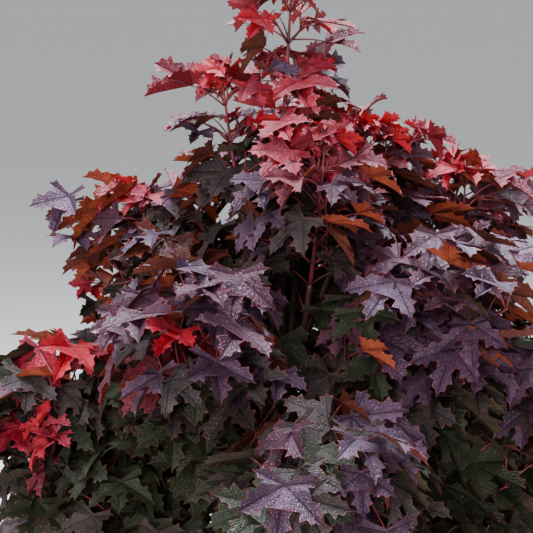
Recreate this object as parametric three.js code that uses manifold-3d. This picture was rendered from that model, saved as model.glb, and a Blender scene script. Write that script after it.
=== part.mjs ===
// A young purple-leaved Norway maple, 1.7 m tall, standing in a plain round nursery pot.
// Millimetres, +Z up. The origin is the centre of the pot's flat underside, and its best side faces -Y.
// The trunk runs up through the crown to the leader. Each bough leaves it as one tapering limb and ends
// in a mass of foliage: a stem, twigs in crossed pairs, and five-lobed leaves on long stalks, fused into
// one solid.

import * as THREE from "three";
import { mergeVertices } from "three/addons/utils/BufferGeometryUtils.js";
import Module from "manifold-3d";

const wasm = await Module();
wasm.setup();

// The pot and what fills it
const POT_HEIGHT = 330;
const POT_FOOT_RADIUS = 150;
const POT_TOP_RADIUS = 190;
const POT_WALL = 4;
const RIM_OVERHANG = 9;
const RIM_DEPTH = 26;
const MIX_LEVEL = 300;
const POT_SIDES = 30;

// The woody frame
const TRUNK_TOP = 1470;
const TRUNK_SIDES = 8;
const TRUNK_STEPS = 12;
const TRUNK_START = 12; // how far below the mix the trunk is drawn before it is cut flat
const TRUNK_FOOT_RADIUS = 15;
const TRUNK_TIP_RADIUS = 4;
const FLARE_RADIUS = 11;
const FLARE_HEIGHT = 38;
const TRUNK_LEAN = 16;
const TRUNK_SWAY = 9;
const BOUGH_TIP_RADIUS = 3.8;
const BOUGH_SWELL = 0.0085; // extra radius at the root for each millimetre of the whole limb's length
const BOUGH_SHARE = 0.42; // how far along the limb its bough ends and its mass of foliage begins
const LEADER_SHARE = 0.6; // the same on the limbs that run up beside the leader
const BOUGH_SIDES = 6;
const BOUGH_STEPS = 4;
const CLEARANCE = 0.3; // the air between a bough and the trunk or a mass's stem

// Twigs and leaves
const STEM_RADIUS = 3.8;
const STEM_STEPS = 3;
const TWIG_ROOT_RADIUS = 3.4;
const TWIG_TIP_RADIUS = 2.5;
const TWIG_LENGTH = 190;
const TWIG_ANGLE = 52; // between a twig and its stem, in degrees
const TWIG_LIFT = 0.22; // how far a twig's tip is raised, as a share of its length
const TWIG_PAIRS = 2;
const FIRST_TWIG = 0.16; // how far along the stem its first twigs stand
const TWIG_SPACING = 0.36;
const BARE_STEM = 0.45; // the share of a stem, and of a twig, that has no leaves
const BARE_TWIG = 0.35;
const LAST_PAIR = 0.98; // how far along its axis the last pair of leaves stands
const INTERNODE = 42;
const LEAVES_PER_MASS = 15;
const LEAF_LENGTH = 116; // from the stalk's top to the tip of the middle lobe
const YOUNG_LEAF = 0.8; // the size of the last pair, as a share of the others
const STALK_LENGTH = 72;
const STALK_RADIUS = 1.3;
const KNUCKLE_RADIUS = 2.2; // of the stalk's top, where the blade begins
const LOW_LEAVES = 1000; // the heights between which blades come to hang less
const HIGH_LEAVES = 1500;
const LEAST_DROOPS = [14, -6]; // how far a blade hangs below level in degrees, low down and high up
const MOST_DROOPS = [52, 32];
const MOST_ROLL = 24;
const BLADE_SHARE = 1.5; // how far the knuckle faces along the blade rather than along the stalk
const LEAST_BLADE = 1.2; // the least thickness of a blade beside its stalk
const SHARPEST_FOLD = -0.5; // the least that a blade's direction has in common with its stalk's
const LEAST_RISE = -0.05; // the same for the direction that its upper face looks in
const CLOSEST_LOBE = 0.9; // the most that a stalk's direction has in common with a foot lobe's

// What keeps the masses clear of each other and of the limbs
const SPACE_RADIUS = 190; // how far the widest masses reach from their stems
const LEAST_SPACE = 0.45; // how far a mass of no spread would reach, as a share of that
const SPACE_GAP = 0.6; // the air between the spaces of two masses
const LEAF_ROOM = 2.5; // the air between a leaf and any limb
const LIMB_STEP = 8; // how closely a limb is measured
const OWN_BOUGH = 14; // a twig may pass this close to the tip of its own bough
const SUNK_SHARE = 0.15; // the part of a leaf stalk that stands in or close to its twig

// The lobes and bays on one side of the blade, from its foot to its middle lobe: the angle from the midrib
// in degrees, the length as a share of the leaf's, and the droop as a share of that.
const HALF_OUTLINE = [
  [112, 0.55, 0.14],
  [80, 0.42, 0.0],
  [50, 0.93, 0.14],
  [25, 0.5, 0.0],
];
const MIDDLE_LOBE = [0, 1, 0.14];

// Each limb: the bearing of its tip round the trunk in degrees, how far out and how high the tip stands,
// the height where it leaves the trunk, how far its foliage spreads as a share of the widest, and the finish
// of its leaves.
const BOUGHS = [
  ["left_leader", 194, 112, 1525, 1090, 0.35, "red"],
  ["right_leader", 14, 112, 1435, 1060, 0.5, "red"],
  ["front_leader", -77, 172, 1440, 985, 0.45, "red"],
  ["back_leader", 84, 150, 1435, 1010, 0.55, "red"],
  ["right_shoulder", 10, 262, 1372, 900, 0.8, "red"],
  ["left_shoulder", 172, 240, 1335, 880, 0.75, "purple"],
  ["right_front", -42, 290, 1285, 800, 0.9, "purple"],
  ["left_front", -122, 285, 1225, 820, 0.9, "purple"],
  ["back", 88, 300, 1280, 780, 0.9, "purple"],
  ["front_middle", -86, 395, 1055, 640, 1, "purple"],
  ["right_side", -14, 390, 1125, 690, 1, "purple"],
  ["right_back", 50, 375, 1075, 670, 1, "purple"],
  ["left_back", 130, 375, 1065, 625, 1, "purple"],
  ["left_side", 197, 380, 1085, 655, 1, "purple"],
  ["low_right_front", -48, 385, 830, 490, 1, "bronze"],
  ["low_right", 18, 380, 845, 520, 1, "bronze"],
  ["low_back", 88, 385, 820, 480, 1, "bronze"],
  ["low_left", 163, 380, 835, 505, 1, "bronze"],
  ["low_left_front", -124, 385, 850, 530, 1, "bronze"],
];
const LEADER_SPREAD = 0.4;
const LEAST_LEAF = 0.6; // a leaf's size at no spread, as a share of its size at the widest
const LEADER_TIP = [-6, -4, 1650];
const FIRST_SEED = 7001; // of the masses' numbers, one seed each

const FINISHES = {
  pot: { color: 0x26272a, roughness: 0.55 },
  mix: { color: 0x3a2a1e, roughness: 1 },
  bark: { color: 0x5c4a40, roughness: 0.85 },
  red: { color: 0x7a1f2e, roughness: 0.35 },
  purple: { color: 0x3f2a38, roughness: 0.4 },
  bronze: { color: 0x2f2a26, roughness: 0.45 },
};
const UP = new THREE.Vector3(0, 0, 1);
const whole = new THREE.Group();

function addNode(name, geometry, finish) {
  const material = new THREE.MeshStandardMaterial({ metalness: 0, ...FINISHES[finish] });
  const mesh = new THREE.Mesh(geometry, material);
  mesh.name = name;
  whole.add(mesh);
}

// The same numbers in the same order for one seed, each from 0 to 1.
const SEED_RANGE = 2147483647;
function seeded(seed) {
  let state = (seed * 7919) % SEED_RANGE;
  return () => {
    state = (state * 48271) % SEED_RANGE;
    return state / SEED_RANGE;
  };
}

// Between closed three.js geometry and solids that can be joined and cut.
function toSolid(geometry) {
  const bare = geometry.clone();
  bare.deleteAttribute("normal");
  bare.deleteAttribute("uv");
  const merged = mergeVertices(bare, 1e-4);
  const vertProperties = new Float32Array(merged.attributes.position.array);
  const triVerts = new Uint32Array(merged.index.array);
  return new wasm.Manifold(new wasm.Mesh({ numProp: 3, vertProperties, triVerts }));
}

function toGeometry(solid) {
  const { vertProperties, triVerts } = solid.getMesh();
  return new THREE.BufferGeometry()
    .setAttribute("position", new THREE.BufferAttribute(new Float32Array(vertProperties), 3))
    .setIndex(new THREE.BufferAttribute(new Uint32Array(triVerts), 1));
}

// The largest body of a solid: hollows that fusing sealed are filled, and loose scraps are dropped.
function largestBody(solid) {
  return solid.decompose().reduce((best, body) => (body.volume() > best.volume() ? body : best));
}

// Pot: a moulded shell, closed underneath, whose rim is turned out and down.
function potGeometry() {
  const rimRadius = POT_TOP_RADIUS + RIM_OVERHANG;
  const radiusAt = (z) => POT_FOOT_RADIUS + (POT_TOP_RADIUS - POT_FOOT_RADIUS) * (z / POT_HEIGHT);
  const rimFoot = POT_HEIGHT - RIM_DEPTH;
  const profile = [
    [0, 0],
    [POT_FOOT_RADIUS - 3, 0],
    [POT_FOOT_RADIUS, 3],
    [radiusAt(rimFoot), rimFoot],
    [rimRadius, rimFoot + 2],
    [rimRadius, POT_HEIGHT - 3],
    [rimRadius - 3, POT_HEIGHT],
    [POT_TOP_RADIUS - POT_WALL, POT_HEIGHT],
    [POT_FOOT_RADIUS - POT_WALL, POT_WALL],
    [0, POT_WALL],
  ];
  const points = profile.map(([r, z]) => new THREE.Vector2(r, z));
  return new THREE.LatheGeometry(points, POT_SIDES).rotateX(Math.PI / 2);
}

// Potting mix: fills the pot to a little below the rim and rises slightly round the trunk.
function mixGeometry() {
  const slope = (POT_TOP_RADIUS - POT_FOOT_RADIUS) / POT_HEIGHT;
  const radiusAt = (z) => POT_FOOT_RADIUS - POT_WALL - 1.2 + slope * (z - POT_WALL);
  const foot = POT_WALL + CLEARANCE;
  const profile = [
    [0, foot],
    [radiusAt(foot), foot],
    [radiusAt(MIX_LEVEL - 6), MIX_LEVEL - 6],
    [radiusAt(MIX_LEVEL) * 0.6, MIX_LEVEL - 2],
    [50, MIX_LEVEL],
    [0, MIX_LEVEL],
  ];
  const points = profile.map(([r, z]) => new THREE.Vector2(r, z));
  return new THREE.LatheGeometry(points, POT_SIDES).rotateX(Math.PI / 2);
}

// The middle of the trunk at a height: a slight lean with one slow bend.
function trunkAt(z) {
  const t = (z - MIX_LEVEL) / (TRUNK_TOP - MIX_LEVEL);
  return new THREE.Vector3(
    -TRUNK_LEAN * t + TRUNK_SWAY * Math.sin(Math.PI * 2 * t),
    TRUNK_SWAY * Math.sin(Math.PI * 1.3 * t),
    z,
  );
}

// The trunk is drawn from a little below the mix, where it is then cut, to its top.
function trunkHeight(t) {
  return THREE.MathUtils.lerp(MIX_LEVEL - TRUNK_START, TRUNK_TOP, t);
}

class TrunkCurve extends THREE.Curve {
  getPoint(t, target = new THREE.Vector3()) {
    return target.copy(trunkAt(trunkHeight(t)));
  }
}

// A closed tapering limb along a curve: a capped cylinder whose rings are laid along it.
// radiusAt takes the share of the way along, and the angle round the limb.
function limbGeometry(curve, radiusAt, sides, steps) {
  const limb = new THREE.CylinderGeometry(1, 1, 1, sides, steps);
  const position = limb.attributes.position;
  const frames = ringFrames(curve, steps);
  for (let i = 0; i < position.count; i++) {
    const across = Math.hypot(position.getX(i), position.getZ(i));
    const angle = Math.atan2(position.getZ(i), position.getX(i));
    const t = position.getY(i) + 0.5;
    const { middle, side, front } = frames[Math.round(t * steps)];
    const radius = across * radiusAt(t, angle);
    const point = middle
      .clone()
      .addScaledVector(side, radius * Math.cos(angle))
      .addScaledVector(front, -radius * Math.sin(angle));
    position.setXYZ(i, point.x, point.y, point.z);
  }
  return limb;
}

// Evenly spaced places on a curve, each with two directions across it that don't twist.
function ringFrames(curve, steps) {
  const frames = [];
  const isAlongX = Math.abs(curve.getTangent(0).x) > 0.8;
  let side = isAlongX ? new THREE.Vector3(0, 1, 0) : new THREE.Vector3(1, 0, 0);
  for (let i = 0; i <= steps; i++) {
    const along = curve.getTangent(i / steps);
    side = side.clone().addScaledVector(along, -side.dot(along)).normalize();
    frames.push({ middle: curve.getPoint(i / steps), side, front: along.clone().cross(side) });
  }
  return frames;
}

function trunkRadius(t, angle = 0, extra = 0) {
  const flare = Math.exp((MIX_LEVEL - trunkHeight(t)) / FLARE_HEIGHT);
  const buttress = 1 + 0.3 * Math.cos(3 * angle + 0.6);
  const taper = THREE.MathUtils.lerp(TRUNK_FOOT_RADIUS, TRUNK_TIP_RADIUS, t ** 0.85);
  return taper + FLARE_RADIUS * flare * buttress + extra;
}

// The trunk, cut flat where it meets the potting mix. extra makes it thicker, to cut the boughs clear of it.
function trunkSolid(extra) {
  const radiusAt = (t, angle) => trunkRadius(t, angle, extra);
  const stem = toSolid(limbGeometry(new TrunkCurve(), radiusAt, TRUNK_SIDES, TRUNK_STEPS));
  const block = new THREE.BoxGeometry(10 * TRUNK_START, 10 * TRUNK_START, 4 * TRUNK_START);
  return stem.subtract(toSolid(block.translate(0, 0, MIX_LEVEL + CLEARANCE - 2 * TRUNK_START)));
}

// The route of a whole limb from the middle of the trunk to its tip: out at a slant, then upwards.
function limbCurve(bearing, reach, tipHeight, rootHeight) {
  const root = trunkAt(rootHeight);
  const angle = THREE.MathUtils.degToRad(bearing);
  const tip = new THREE.Vector3(reach * Math.cos(angle), reach * Math.sin(angle), tipHeight);
  const bend = root.clone().lerp(tip, 0.5);
  bend.z -= 0.16 * (tipHeight - rootHeight);
  bend.addScaledVector(new THREE.Vector3(Math.cos(angle), Math.sin(angle), 0), 0.12 * reach);
  return new THREE.QuadraticBezierCurve3(root, bend, tip);
}

// The stretch of a curve between two shares of its way.
class Stretch extends THREE.Curve {
  constructor(whole, from, to) {
    super();
    Object.assign(this, { whole, from, to });
  }
  getPoint(t, target = new THREE.Vector3()) {
    return target.copy(this.whole.getPoint(THREE.MathUtils.lerp(this.from, this.to, t)));
  }
}

// A leaf in its own place: a three-sided stalk and a blade of five lobes that fans out from the stalk's top.
// root and joint are the stalk's ends, forward points along the midrib, and normal is the upper face's.
// Its corners: 0, 1, 2 stand round the stalk's foot, 3, 4, 5 above, left and right of the joint, and the
// rest along the blade's edge.
const BLADE_START = 6;
const MIDDLE_TIP = BLADE_START + HALF_OUTLINE.length;
const BLADE_END = MIDDLE_TIP + HALF_OUTLINE.length;
function leafCorners({ root, joint, stalk, forward, side, normal, length }) {
  const knuckle = forward.clone().multiplyScalar(BLADE_SHARE).add(stalk).normalize();
  const across = side.clone().addScaledVector(knuckle, -side.dot(knuckle)).normalize();
  const over = across.clone().cross(knuckle);
  const straighten = new THREE.Quaternion().setFromUnitVectors(knuckle, stalk);
  const [footAcross, footOver] = [across, over].map((turned) => turned.clone().applyQuaternion(straighten));
  const corners = [
    ...ring(root, footAcross, footOver, STALK_RADIUS),
    ...ring(joint, across, over, KNUCKLE_RADIUS),
  ];
  const lobes = [
    ...HALF_OUTLINE.map(([turn, share, droop]) => [-turn, share, droop]),
    MIDDLE_LOBE,
    ...HALF_OUTLINE.toReversed(),
  ];
  for (const [turn, share, droop] of lobes) {
    const angle = THREE.MathUtils.degToRad(turn);
    corners.push(
      joint
        .clone()
        .addScaledVector(forward, Math.cos(angle) * share * length)
        .addScaledVector(side, Math.sin(angle) * share * length)
        .addScaledVector(normal, -droop * share * length),
    );
  }
  return corners;
}

// Three corners round a place: above, left and right of it.
function ring(middle, across, over, radius) {
  return [90, 210, 330].map((turn) => {
    const angle = THREE.MathUtils.degToRad(turn);
    return middle
      .clone()
      .addScaledVector(across, radius * Math.cos(angle))
      .addScaledVector(over, radius * Math.sin(angle));
  });
}

// The blade's edge in steps, each with the corner under it that its lower face spreads from.
const EDGE_STEPS = Array.from({ length: BLADE_END - BLADE_START }, (_, i) => {
  const from = BLADE_START + i;
  return { from, to: from + 1, under: from < MIDDLE_TIP ? 4 : 5 };
});

function leafGeometry(corners) {
  const faces = [[0, 1, 2], [0, 3, 4], [0, 4, 1], [1, 4, 5], [1, 5, 2], [2, 5, 3], [2, 3, 0]];
  faces.push([3, BLADE_START, 4], [4, MIDDLE_TIP, 5], [3, 5, BLADE_END]);
  for (const { from, to, under } of EDGE_STEPS) faces.push([3, to, from], [under, from, to]);
  return new THREE.BufferGeometry().setFromPoints(corners).setIndex(faces.flat());
}

// Whether a leaf can be laid so: its stalk comes from under the blade, past the foot of it, without a sharp
// fold, and the blade has its full thickness all round the stalk.
function isSound({ joint, stalk, forward, normal }, corners) {
  const plane = new THREE.Plane();
  const lobe = new THREE.Vector3();
  const isThick = ({ from, to, under }) => {
    plane.setFromCoplanarPoints(corners[3], corners[to], corners[from]);
    return plane.distanceToPoint(corners[under]) < -LEAST_BLADE;
  };
  const isPast = (tip) => -lobe.subVectors(corners[tip], joint).normalize().dot(stalk) < CLOSEST_LOBE;
  return (
    stalk.dot(forward) > SHARPEST_FOLD &&
    stalk.dot(normal) > LEAST_RISE &&
    isPast(BLADE_START) &&
    isPast(BLADE_END) &&
    EDGE_STEPS.every(isThick)
  );
}

// A curve drawn as a few straight stretches, so that what stands on it stands on its faceted limb.
class Facets extends THREE.Curve {
  constructor(curve, steps) {
    super();
    this.steps = steps;
    this.places = curve.getPoints(steps);
  }
  getPoint(t, target = new THREE.Vector3()) {
    const i = Math.min(Math.floor(t * this.steps), this.steps - 1);
    return target.lerpVectors(this.places[i], this.places[i + 1], t * this.steps - i);
  }
}

// One stem or twig of a mass: its curve and length, and its radius at each end.
function axis(from, bend, to, steps, rootRadius, tipRadius) {
  const curve = new Facets(new THREE.QuadraticBezierCurve3(from, bend, to), steps);
  return { curve, steps, length: curve.getLength(), rootRadius, tipRadius };
}

// The direction square to an axis, at an angle round it: 0 is level.
function acrossAxis(along, turn) {
  const level = along.clone().cross(UP);
  if (level.lengthSq() < 1e-4) level.set(1, 0, 0);
  level.normalize();
  const over = level.clone().cross(along);
  const angle = THREE.MathUtils.degToRad(turn);
  return level.multiplyScalar(Math.cos(angle)).addScaledVector(over, Math.sin(angle));
}

// A mass's stem carries on from its bough, and its twigs leave it in pairs, each pair square to the last.
// A twig that has no room is tried again shorter, and then skipped.
function growTwigs(mass, random, hasRoom) {
  const stem = axis(mass.stemRoot, mass.stemBend, mass.stemTip, STEM_STEPS, STEM_RADIUS, TWIG_TIP_RADIUS);
  const axes = [stem];
  const firstTurn = 60 * random() - 30;
  const lean = THREE.MathUtils.degToRad(TWIG_ANGLE);
  for (let pair = 0; pair < TWIG_PAIRS; pair++) {
    const t = FIRST_TWIG + pair * TWIG_SPACING;
    const along = stem.curve.getTangent(t);
    const from = stem.curve.getPoint(t);
    for (const halfTurn of [0, 180]) {
      const turn = firstTurn + 90 * pair + halfTurn + 30 * (random() - 0.5);
      const heading = along
        .clone()
        .multiplyScalar(Math.cos(lean))
        .addScaledVector(acrossAxis(along, turn), Math.sin(lean))
        .addScaledVector(UP, TWIG_LIFT);
      const fullLength = TWIG_LENGTH * mass.spread * (1 - 0.4 * t) * (0.85 + 0.3 * random());
      for (const share of [1, 0.7]) {
        const to = from.clone().addScaledVector(heading, share * fullLength);
        const middle = from.clone().lerp(to, 0.5);
        const twig = axis(from, middle, to, 1, TWIG_ROOT_RADIUS, TWIG_TIP_RADIUS);
        if (!hasRoom(twig)) continue;
        axes.push(twig);
        break;
      }
    }
  }
  return axes;
}

// Where the leaves of one axis stand: opposite pairs, each square to the last, counted back from the tip.
function leavesOn({ curve, length }, bareShare, random) {
  const pairs = Math.round((length * (1 - bareShare)) / INTERNODE);
  const leaves = [];
  for (let pair = 0; pair <= pairs; pair++) {
    const t = THREE.MathUtils.lerp(LAST_PAIR, bareShare, pair / Math.max(1, pairs));
    const place = curve.getPoint(t);
    const along = curve.getTangent(t);
    const firstTurn = 90 * pair + 40 * (random() - 0.5);
    for (const halfTurn of [0, 180]) {
      const across = acrossAxis(along, firstTurn + halfTurn);
      const size = (pair === 0 ? YOUNG_LEAF : 1) * (0.85 + 0.3 * random());
      const droopShare = random();
      const roll = THREE.MathUtils.lerp(-MOST_ROLL, MOST_ROLL, random());
      leaves.push({ pair, place, along, across, size, droopShare, roll });
    }
  }
  return leaves;
}

// How far a blade at some height hangs below level, in degrees.
function droopAt(z, share) {
  const high = THREE.MathUtils.clamp((z - LOW_LEAVES) / (HIGH_LEAVES - LOW_LEAVES), 0, 1);
  const least = THREE.MathUtils.lerp(...LEAST_DROOPS, high);
  const most = THREE.MathUtils.lerp(...MOST_DROOPS, high);
  return THREE.MathUtils.lerp(least, most, share);
}

// Lays a leaf out in space: the blade is bent over to the light, its tip out of the crown and down.
// swing turns the stalk round its axis, twist turns the blade on the stalk, and reach shortens the stalk.
function setLeaf({ place, along, across, size, droopShare, roll }, { swing, twist, reach }, spread) {
  const turned = across.clone().applyAxisAngle(along, THREE.MathUtils.degToRad(swing));
  const rise = along.clone().multiplyScalar(0.6).add(turned).addScaledVector(UP, 0.25).normalize();
  const joint = place.clone().addScaledVector(rise, STALK_LENGTH * size * reach);
  const outward = new THREE.Vector3(joint.x, joint.y, 0).normalize();
  const level = new THREE.Vector3(rise.x, rise.y, 0).addScaledVector(outward, 0.7).normalize();
  level.applyAxisAngle(UP, THREE.MathUtils.degToRad(twist));
  const tilt = THREE.MathUtils.degToRad(droopAt(joint.z, droopShare));
  const forward = level.clone().multiplyScalar(Math.cos(tilt)).addScaledVector(UP, -Math.sin(tilt));
  const normal = level.clone().multiplyScalar(Math.sin(tilt)).addScaledVector(UP, Math.cos(tilt));
  normal.applyAxisAngle(forward, THREE.MathUtils.degToRad(roll));
  const side = forward.clone().cross(normal);
  const length = LEAF_LENGTH * size * THREE.MathUtils.lerp(LEAST_LEAF, 1, spread);
  return { root: place, joint, stalk: rise, forward, side, normal, length };
}

// The space of one mass: close to its stem, and on its own side of a plane midway to each other stem.
function spaceOf(mass, masses) {
  const own = new THREE.Line3(mass.stemRoot, mass.stemTip);
  const here = new THREE.Vector3();
  const there = new THREE.Vector3();
  const planes = masses
    .filter((other) => other !== mass)
    .map((other) => {
      own.distanceSqToLine3(new THREE.Line3(other.stemRoot, other.stemTip), here, there);
      const normal = there.clone().sub(here).normalize();
      const midway = here.clone().add(there).multiplyScalar(0.5);
      return new THREE.Plane().setFromNormalAndCoplanarPoint(normal, midway);
    });
  const reach = SPACE_RADIUS * THREE.MathUtils.lerp(LEAST_SPACE, 1, mass.spread);
  return (point, margin = 0) =>
    planes.every((plane) => plane.distanceToPoint(point) < -SPACE_GAP / 2 - margin) &&
    own.closestPointToPoint(point, true, here).distanceTo(point) < reach;
}

// Points along a limb, each with the radius that a leaf or twig keeps out of.
function limbPoints(curve, radiusAt) {
  const count = Math.ceil(curve.getLength() / LIMB_STEP);
  return Array.from({ length: count + 1 }, (_, i) => ({
    point: curve.getPoint(i / count),
    radius: radiusAt(i / count) + LEAF_ROOM,
  }));
}

function touchesLimb(geometry, limbs) {
  geometry.computeBoundingSphere();
  const { center, radius: reach } = geometry.boundingSphere;
  const near = limbs.filter(({ point, radius }) => point.distanceTo(center) < reach + radius);
  const { position } = geometry.attributes;
  const index = geometry.index.array;
  const face = new THREE.Triangle();
  const nearest = new THREE.Vector3();
  const isClose = ({ point, radius }) => face.closestPointToPoint(point, nearest).distanceTo(point) < radius;
  for (let i = 0; near.length && i < index.length; i += 3) {
    face.setFromAttributeAndIndices(position, index[i], index[i + 1], index[i + 2]);
    if (near.some(isClose)) return true;
  }
  return false;
}

// The whole limbs, each with its bough, and the stem of the mass that carries on from it.
const trunkCurve = new TrunkCurve();
const boughs = BOUGHS.map(([name, bearing, reach, tipHeight, rootHeight, spread, finish]) => {
  const whole = limbCurve(bearing, reach, tipHeight, rootHeight);
  const swell = BOUGH_SWELL * whole.getLength();
  const share = name.endsWith("leader") ? LEADER_SHARE : BOUGH_SHARE;
  const curve = new Stretch(whole, 0, share);
  const radiusAt = (t) => BOUGH_TIP_RADIUS + swell * (1 - t);
  const heading = whole.getTangent(share);
  const stemRoot = whole.getPoint(share).addScaledVector(heading, CLEARANCE);
  const stemTip = whole.getPoint(1);
  const stemBend = stemRoot.clone().addScaledVector(heading, 0.45 * stemRoot.distanceTo(stemTip));
  return { name, spread, finish, curve, radiusAt, stemRoot, stemBend, stemTip };
});
const leader = {
  name: "leader",
  spread: LEADER_SPREAD,
  finish: "red",
  stemRoot: trunkAt(TRUNK_TOP).addScaledVector(trunkCurve.getTangent(1), CLEARANCE),
  stemTip: new THREE.Vector3(...LEADER_TIP),
};
leader.stemBend = leader.stemRoot.clone().lerp(leader.stemTip, 0.5);
const masses = [leader, ...boughs];
const limbs = [
  ...limbPoints(trunkCurve, trunkRadius),
  ...boughs.flatMap(({ curve, radiusAt }) => limbPoints(curve, radiusAt)),
];

// The ways in which a leaf is tried: as it grew, then turned to either side, then on a shorter stalk.
const SWINGS = [0, 35, -35, 70, -70, 105, -105];
const TWISTS = [0, 45, -45];
const REACHES = [1, 0.75, 0.5];
const LEAF_TRIES = REACHES.flatMap((reach) =>
  TWISTS.flatMap((twist) => SWINGS.map((swing) => ({ swing, twist, reach }))),
);

// A mass of foliage as one solid: stem, twigs and leaves. A leaf is skipped where every try would leave the
// mass's space, touch a limb, or cross a twig or another leaf.
function massGeometry(mass, seed) {
  const random = seeded(seed);
  const isInside = spaceOf(mass, masses);
  const otherLimbs = limbs.filter(({ point }) => point.distanceTo(mass.stemRoot) > OWN_BOUGH);
  const isOff = ({ point, radius }, place, room) => point.distanceTo(place) > radius + room;
  const isClear = (place, room) =>
    isInside(place, room) && otherLimbs.every((limb) => isOff(limb, place, room));
  const hasRoom = ({ curve, length, rootRadius }) =>
    curve.getPoints(Math.ceil(length / LIMB_STEP)).every((place) => isClear(place, rootRadius));
  const axes = growTwigs(mass, random, hasRoom);
  const twigs = axes.map(({ curve, steps, rootRadius, tipRadius }, i) => {
    const radiusAt = (t) => THREE.MathUtils.lerp(rootRadius, tipRadius, t);
    return toSolid(limbGeometry(curve, radiusAt, i ? 3 : 4, steps));
  });
  const meets = (one, others) => others.some((other) => one.intersect(other).volume() > 0);
  const leaves = [];
  const place = (leaf, otherTwigs) => {
    for (const change of LEAF_TRIES) {
      const laid = setLeaf(leaf, change, mass.spread);
      const corners = leafCorners(laid);
      const geometry = leafGeometry(corners);
      if (!isSound(laid, corners) || !corners.every((corner) => isInside(corner))) continue;
      if (touchesLimb(geometry, limbs)) continue;
      const whole = toSolid(geometry);
      const root = laid.root.clone().lerp(laid.joint, SUNK_SHARE);
      const clear = toSolid(leafGeometry(leafCorners({ ...laid, root })));
      if (meets(clear, [...twigs, ...leaves.map((other) => other.whole)])) continue;
      if (meets(whole, [...otherTwigs, ...leaves.map((other) => other.clear)])) continue;
      leaves.push({ whole, clear });
      return;
    }
  };
  axes
    .flatMap((grown, i) => leavesOn(grown, i ? BARE_TWIG : BARE_STEM, random).map((leaf) => ({ leaf, i })))
    .sort((one, other) => one.leaf.pair - other.leaf.pair)
    .forEach(({ leaf, i }) => {
      if (leaves.length < LEAVES_PER_MASS) place(leaf, twigs.filter((_, k) => k !== i));
    });
  const parts = [...twigs, ...leaves.map((leaf) => leaf.whole)];
  return toGeometry(largestBody(parts.reduce((fused, part) => fused.add(part))));
}

addNode("pot", potGeometry(), "pot");
addNode("potting_mix", mixGeometry(), "mix");
addNode("trunk", toGeometry(trunkSolid(0)), "bark");
const trunkRoom = trunkSolid(CLEARANCE);
for (const { name, curve, radiusAt } of boughs) {
  const limb = toSolid(limbGeometry(curve, radiusAt, BOUGH_SIDES, BOUGH_STEPS));
  addNode(`bough_${name}`, toGeometry(largestBody(limb.subtract(trunkRoom))), "bark");
}
masses.forEach((mass, i) => {
  addNode(`foliage_${mass.name}`, massGeometry(mass, FIRST_SEED + i), mass.finish);
});

export default whole;
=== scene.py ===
import math
from itertools import product

import bmesh
import bpy
import numpy as np
from mathutils import Matrix, Vector, noise


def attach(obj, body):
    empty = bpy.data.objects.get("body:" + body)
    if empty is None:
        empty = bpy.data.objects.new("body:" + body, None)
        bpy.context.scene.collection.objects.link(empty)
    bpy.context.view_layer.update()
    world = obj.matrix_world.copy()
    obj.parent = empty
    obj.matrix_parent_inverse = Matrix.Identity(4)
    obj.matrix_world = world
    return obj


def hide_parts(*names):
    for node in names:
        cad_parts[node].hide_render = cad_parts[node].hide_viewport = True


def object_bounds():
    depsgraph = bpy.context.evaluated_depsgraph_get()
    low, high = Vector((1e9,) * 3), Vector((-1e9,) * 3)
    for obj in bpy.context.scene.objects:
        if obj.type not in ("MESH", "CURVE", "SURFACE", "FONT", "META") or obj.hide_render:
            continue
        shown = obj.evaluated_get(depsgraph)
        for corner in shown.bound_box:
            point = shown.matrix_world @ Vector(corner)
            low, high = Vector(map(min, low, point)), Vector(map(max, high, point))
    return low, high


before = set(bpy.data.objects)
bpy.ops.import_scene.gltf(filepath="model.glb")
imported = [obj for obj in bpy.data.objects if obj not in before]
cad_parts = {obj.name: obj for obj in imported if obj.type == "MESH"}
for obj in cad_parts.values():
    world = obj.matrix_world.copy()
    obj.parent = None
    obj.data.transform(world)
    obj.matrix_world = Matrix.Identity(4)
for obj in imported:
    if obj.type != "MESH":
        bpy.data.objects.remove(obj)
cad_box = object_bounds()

# Camera
# A photographer's short telephoto lens, held at head height about two and a half metres from the trunk.
# The photo's frame is 533 pixels square, at a millimetre and a half a pixel beside the trunk.
PHOTO_PIXELS = 533
PIXEL_SIZE = 0.0015
LEADER_PIXEL = 295  # how far across the photo the leader stands
TOP_HEIGHT = 1.63  # the height beside the trunk that the photo's upper edge shows
CAMERA_HEIGHT = 1.65
CAMERA_DISTANCE = 2.45
SENSOR_WIDTH = 36
view_width = PHOTO_PIXELS * PIXEL_SIZE
aim = Vector(((PHOTO_PIXELS / 2 - LEADER_PIXEL) * PIXEL_SIZE, 0, TOP_HEIGHT - view_width / 2))
camera_place = Vector((aim.x, -CAMERA_DISTANCE, CAMERA_HEIGHT))
camera_data = bpy.data.cameras.new("camera")
camera_data.sensor_width = SENSOR_WIDTH
camera_data.lens = SENSOR_WIDTH * (aim - camera_place).length / view_width
camera = bpy.data.objects.new("camera", camera_data)
camera.location = camera_place
camera.rotation_euler = (aim - camera_place).to_track_quat("-Z", "Y").to_euler()
bpy.context.scene.collection.objects.link(camera)
bpy.context.scene.camera = camera


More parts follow.
